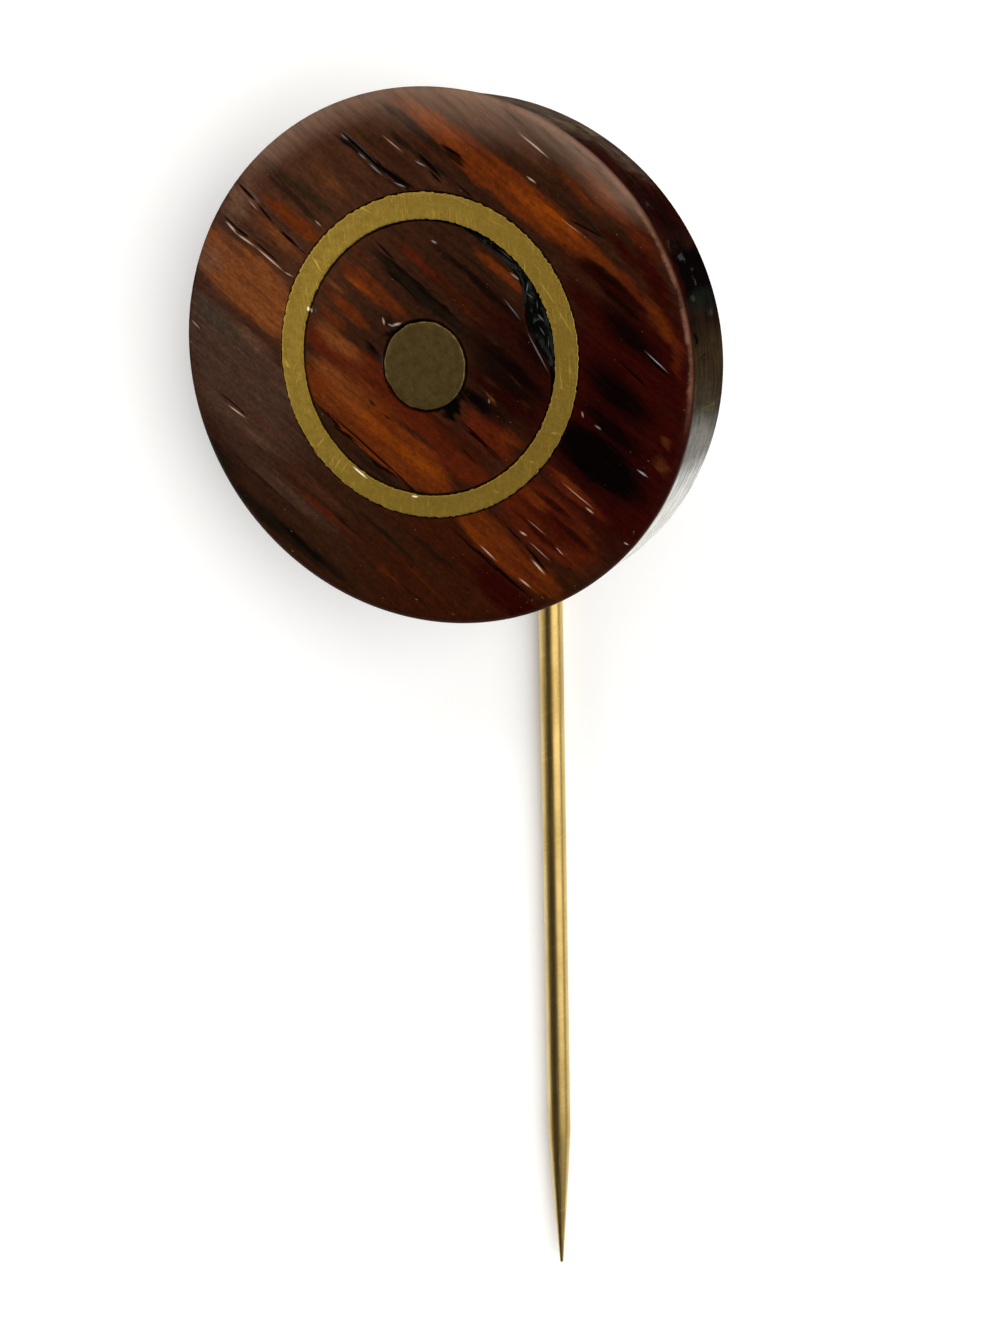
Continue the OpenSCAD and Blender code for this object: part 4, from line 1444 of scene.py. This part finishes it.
# Painted highlights, in silver, along the resin's edges
for *ends, half_width, strength in RESIN_GLINTS:
    resin_colour, _, marked = streak(tree, marked, resin_colour, TONES["silver"],
                                     *thin_streak(*ends, half_width), 0.8, strength)
tree.links.new(resin_colour, shader.inputs["Base Color"])
grit = noise(tree, place, (7.0, 7.0, 7.0), 3.0, 0.6)
resin_bump = node(tree, "ShaderNodeBump", Strength=0.4, Distance=0.03 * MM, Height=grit)
tree.links.new(resin_bump.outputs[0], shader.inputs["Normal"])
shader.inputs["Specular IOR Level"].default_value = 0.07
print("resin nodes:", len(tree.nodes))

# %% [markdown]
# ## Every piece to its place
# Each new piece stands for one CAD node, takes its material and moves with the only body.

# %% Dress the pieces
PIECES = (
    (wooden_disc, wood, "wooden_head", "dark_wood"),
    (brass_ring, ring_metal, "inlay_ring", "ring_brass"),
    (brass_dot, dot_metal, "inlay_dot", "dot_brass"),
    (black_resin, resin, "black_filler", "black_resin"),
    (gilt_pin, pin_metal, "pin_stem", "gold_wire"),
)
for piece, material, cad_node, slot_name in PIECES:
    piece.data.materials.append(material)
    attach(piece, "root")
    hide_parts(cad_node)
    print(piece.name, "stands for", cad_node)

# %% [markdown]
# ## The floor
# The floor is a wide pale disc with a little light of its own far out, so that it stays pale
# to the horizon. In mirror images it is bright near the pin and dark behind it. The wall of
# the disc shows such an image, with a light lower end and a dark upper end.

# %% Floor
FLOOR_R, FLOOR_POINTS, FLOOR_LEVEL = 1.5, 96, -0.02 * MM
floor_mesh = bpy.data.meshes.new("floor")
floor_points = [(FLOOR_R * math.cos(a), FLOOR_R * math.sin(a), FLOOR_LEVEL)
                for a in np.linspace(0, 2 * math.pi, FLOOR_POINTS, endpoint=False)]
floor_mesh.from_pydata(floor_points, [], [list(range(FLOOR_POINTS))])
floor = bpy.data.objects.new("floor", floor_mesh)
bpy.context.scene.collection.objects.link(floor)
print("floor across, in m:", 2 * FLOOR_R)

# %% Paper
MIRROR_BRIGHT, MIRROR_DARK = tint(224, 228, 214), tint(30, 28, 26)
# In mirror images the floor turns dark between these two places behind the pin
DARK_FROM, DARK_TO = 11.4 * MM, 13.0 * MM
# Its own light grows between two distances, in mm, from a little to a lot
GLOW_FROM, GLOW_TO, NEAR_GLOW, FAR_GLOW = 80, 420, 0.20, 0.86
paper, tree, shader = new_material("pale_paper")
paper_place = millimetres(tree)
paper_tone = ramp_between(tree, noise(tree, paper_place, (0.02, 0.02, 0.02), 2.0), 0.3, 0.7)
paper_colour = blend_colours(tree, paper_tone, tint(238, 238, 236), tint(242, 242, 241))
light_path = node(tree, "ShaderNodeLightPath").outputs
mirrored = light_path["Is Glossy Ray"]
own_place = node(tree, "ShaderNodeTexCoord").outputs["Object"]
own_y = node(tree, "ShaderNodeSeparateXYZ", Vector=own_place).outputs["Y"]
far_side = ramp_between(tree, own_y, DARK_FROM, DARK_TO)
in_mirrors = blend_colours(tree, far_side, MIRROR_BRIGHT, MIRROR_DARK)
tree.links.new(blend_colours(tree, mirrored, paper_colour, in_mirrors),
               shader.inputs["Base Color"])
mirror_glow = product(tree, mirrored, sums(tree, "SUBTRACT", 1.0, far_side))
out_far = vectors(tree, "LENGTH", paper_place)
own_glow = ramp_between(tree, out_far, GLOW_FROM, GLOW_TO, NEAR_GLOW, FAR_GLOW)
glow = sums(tree, "MULTIPLY_ADD", light_path["Is Camera Ray"], own_glow, mirror_glow)
tree.links.new(glow, shader.inputs["Emission Color"])
shader.inputs["Emission Strength"].default_value = 1.0
shader.inputs["Roughness"].default_value = 0.8
shader.inputs["Specular IOR Level"].default_value = 0.2
floor_mesh.materials.append(paper)
print("paper nodes:", len(tree.nodes))

# %% [markdown]
# ## The light
# The photograph has plain white all round and one dark patch overhead, where the camera kept
# the light off. Polished wood and metal show such a patch: it is why the face looks deep and
# dark, and why the wire has a dark line down its middle. So the light comes from soft boxes
# at both sides and behind, and nothing bright hangs above the camera. The world is pale only
# to the camera, and warm and dim to everything else.

# %% Lights
# The boxes aim 8 mm below the face's middle, towards the wire
AIM = face_middle + np.array([0, -8, 0]) * MM
# Each box: name, direction from the pin, distance, width and height in m, watts
SOFT_BOXES = (
    ("right_box", (0.62, -0.05, 0.78), 0.34, 0.42, 0.42, 1.6),
    ("left_box", (-0.89, 0.34, 0.30), 0.34, 0.42, 0.18, 0.6),
    ("back_box", (0.05, 0.85, 0.52), 0.36, 0.42, 0.22, 0.8),
)


def soft_box(name, towards, distance, width, height, watts):
    """A rectangular soft light, seen from the pin in a given direction, aimed at it."""
    lamp = bpy.data.lights.new(name, "AREA")
    lamp.shape = "RECTANGLE"
    lamp.size, lamp.size_y = width, height
    lamp.energy = watts
    box = bpy.data.objects.new(name, lamp)
    direction = Vector(towards).normalized()
    box.location = Vector(AIM) + direction * distance
    box.rotation_euler = direction.to_track_quat("Z", "Y").to_euler()
    bpy.context.scene.collection.objects.link(box)
    print(name, "at, in m:", [round(c, 3) for c in box.location])


for row in SOFT_BOXES:
    soft_box(*row)

# %% World
SEEN_COLOUR, LIGHTING_COLOUR = (0.9, 0.9, 0.9, 1), (1, 0.72, 0.38, 1)
LIGHTING_STRENGTH = 0.045
world = bpy.data.worlds.new("studio")
bpy.context.scene.world = world
world.use_nodes = True
tree = world.node_tree
tree.nodes.clear()
seen = node(tree, "ShaderNodeBackground", Color=SEEN_COLOUR, Strength=1.0)
lighting = node(tree, "ShaderNodeBackground", Color=LIGHTING_COLOUR,
                Strength=LIGHTING_STRENGTH)
ray = node(tree, "ShaderNodeLightPath").outputs["Is Camera Ray"]
mixed = node(tree, "ShaderNodeMixShader", i0=ray, i1=lighting.outputs[0], i2=seen.outputs[0])
node(tree, "ShaderNodeOutputWorld", Surface=mixed.outputs[0])
bpy.context.scene.view_settings.view_transform = "Standard"
print("world nodes:", len(tree.nodes))
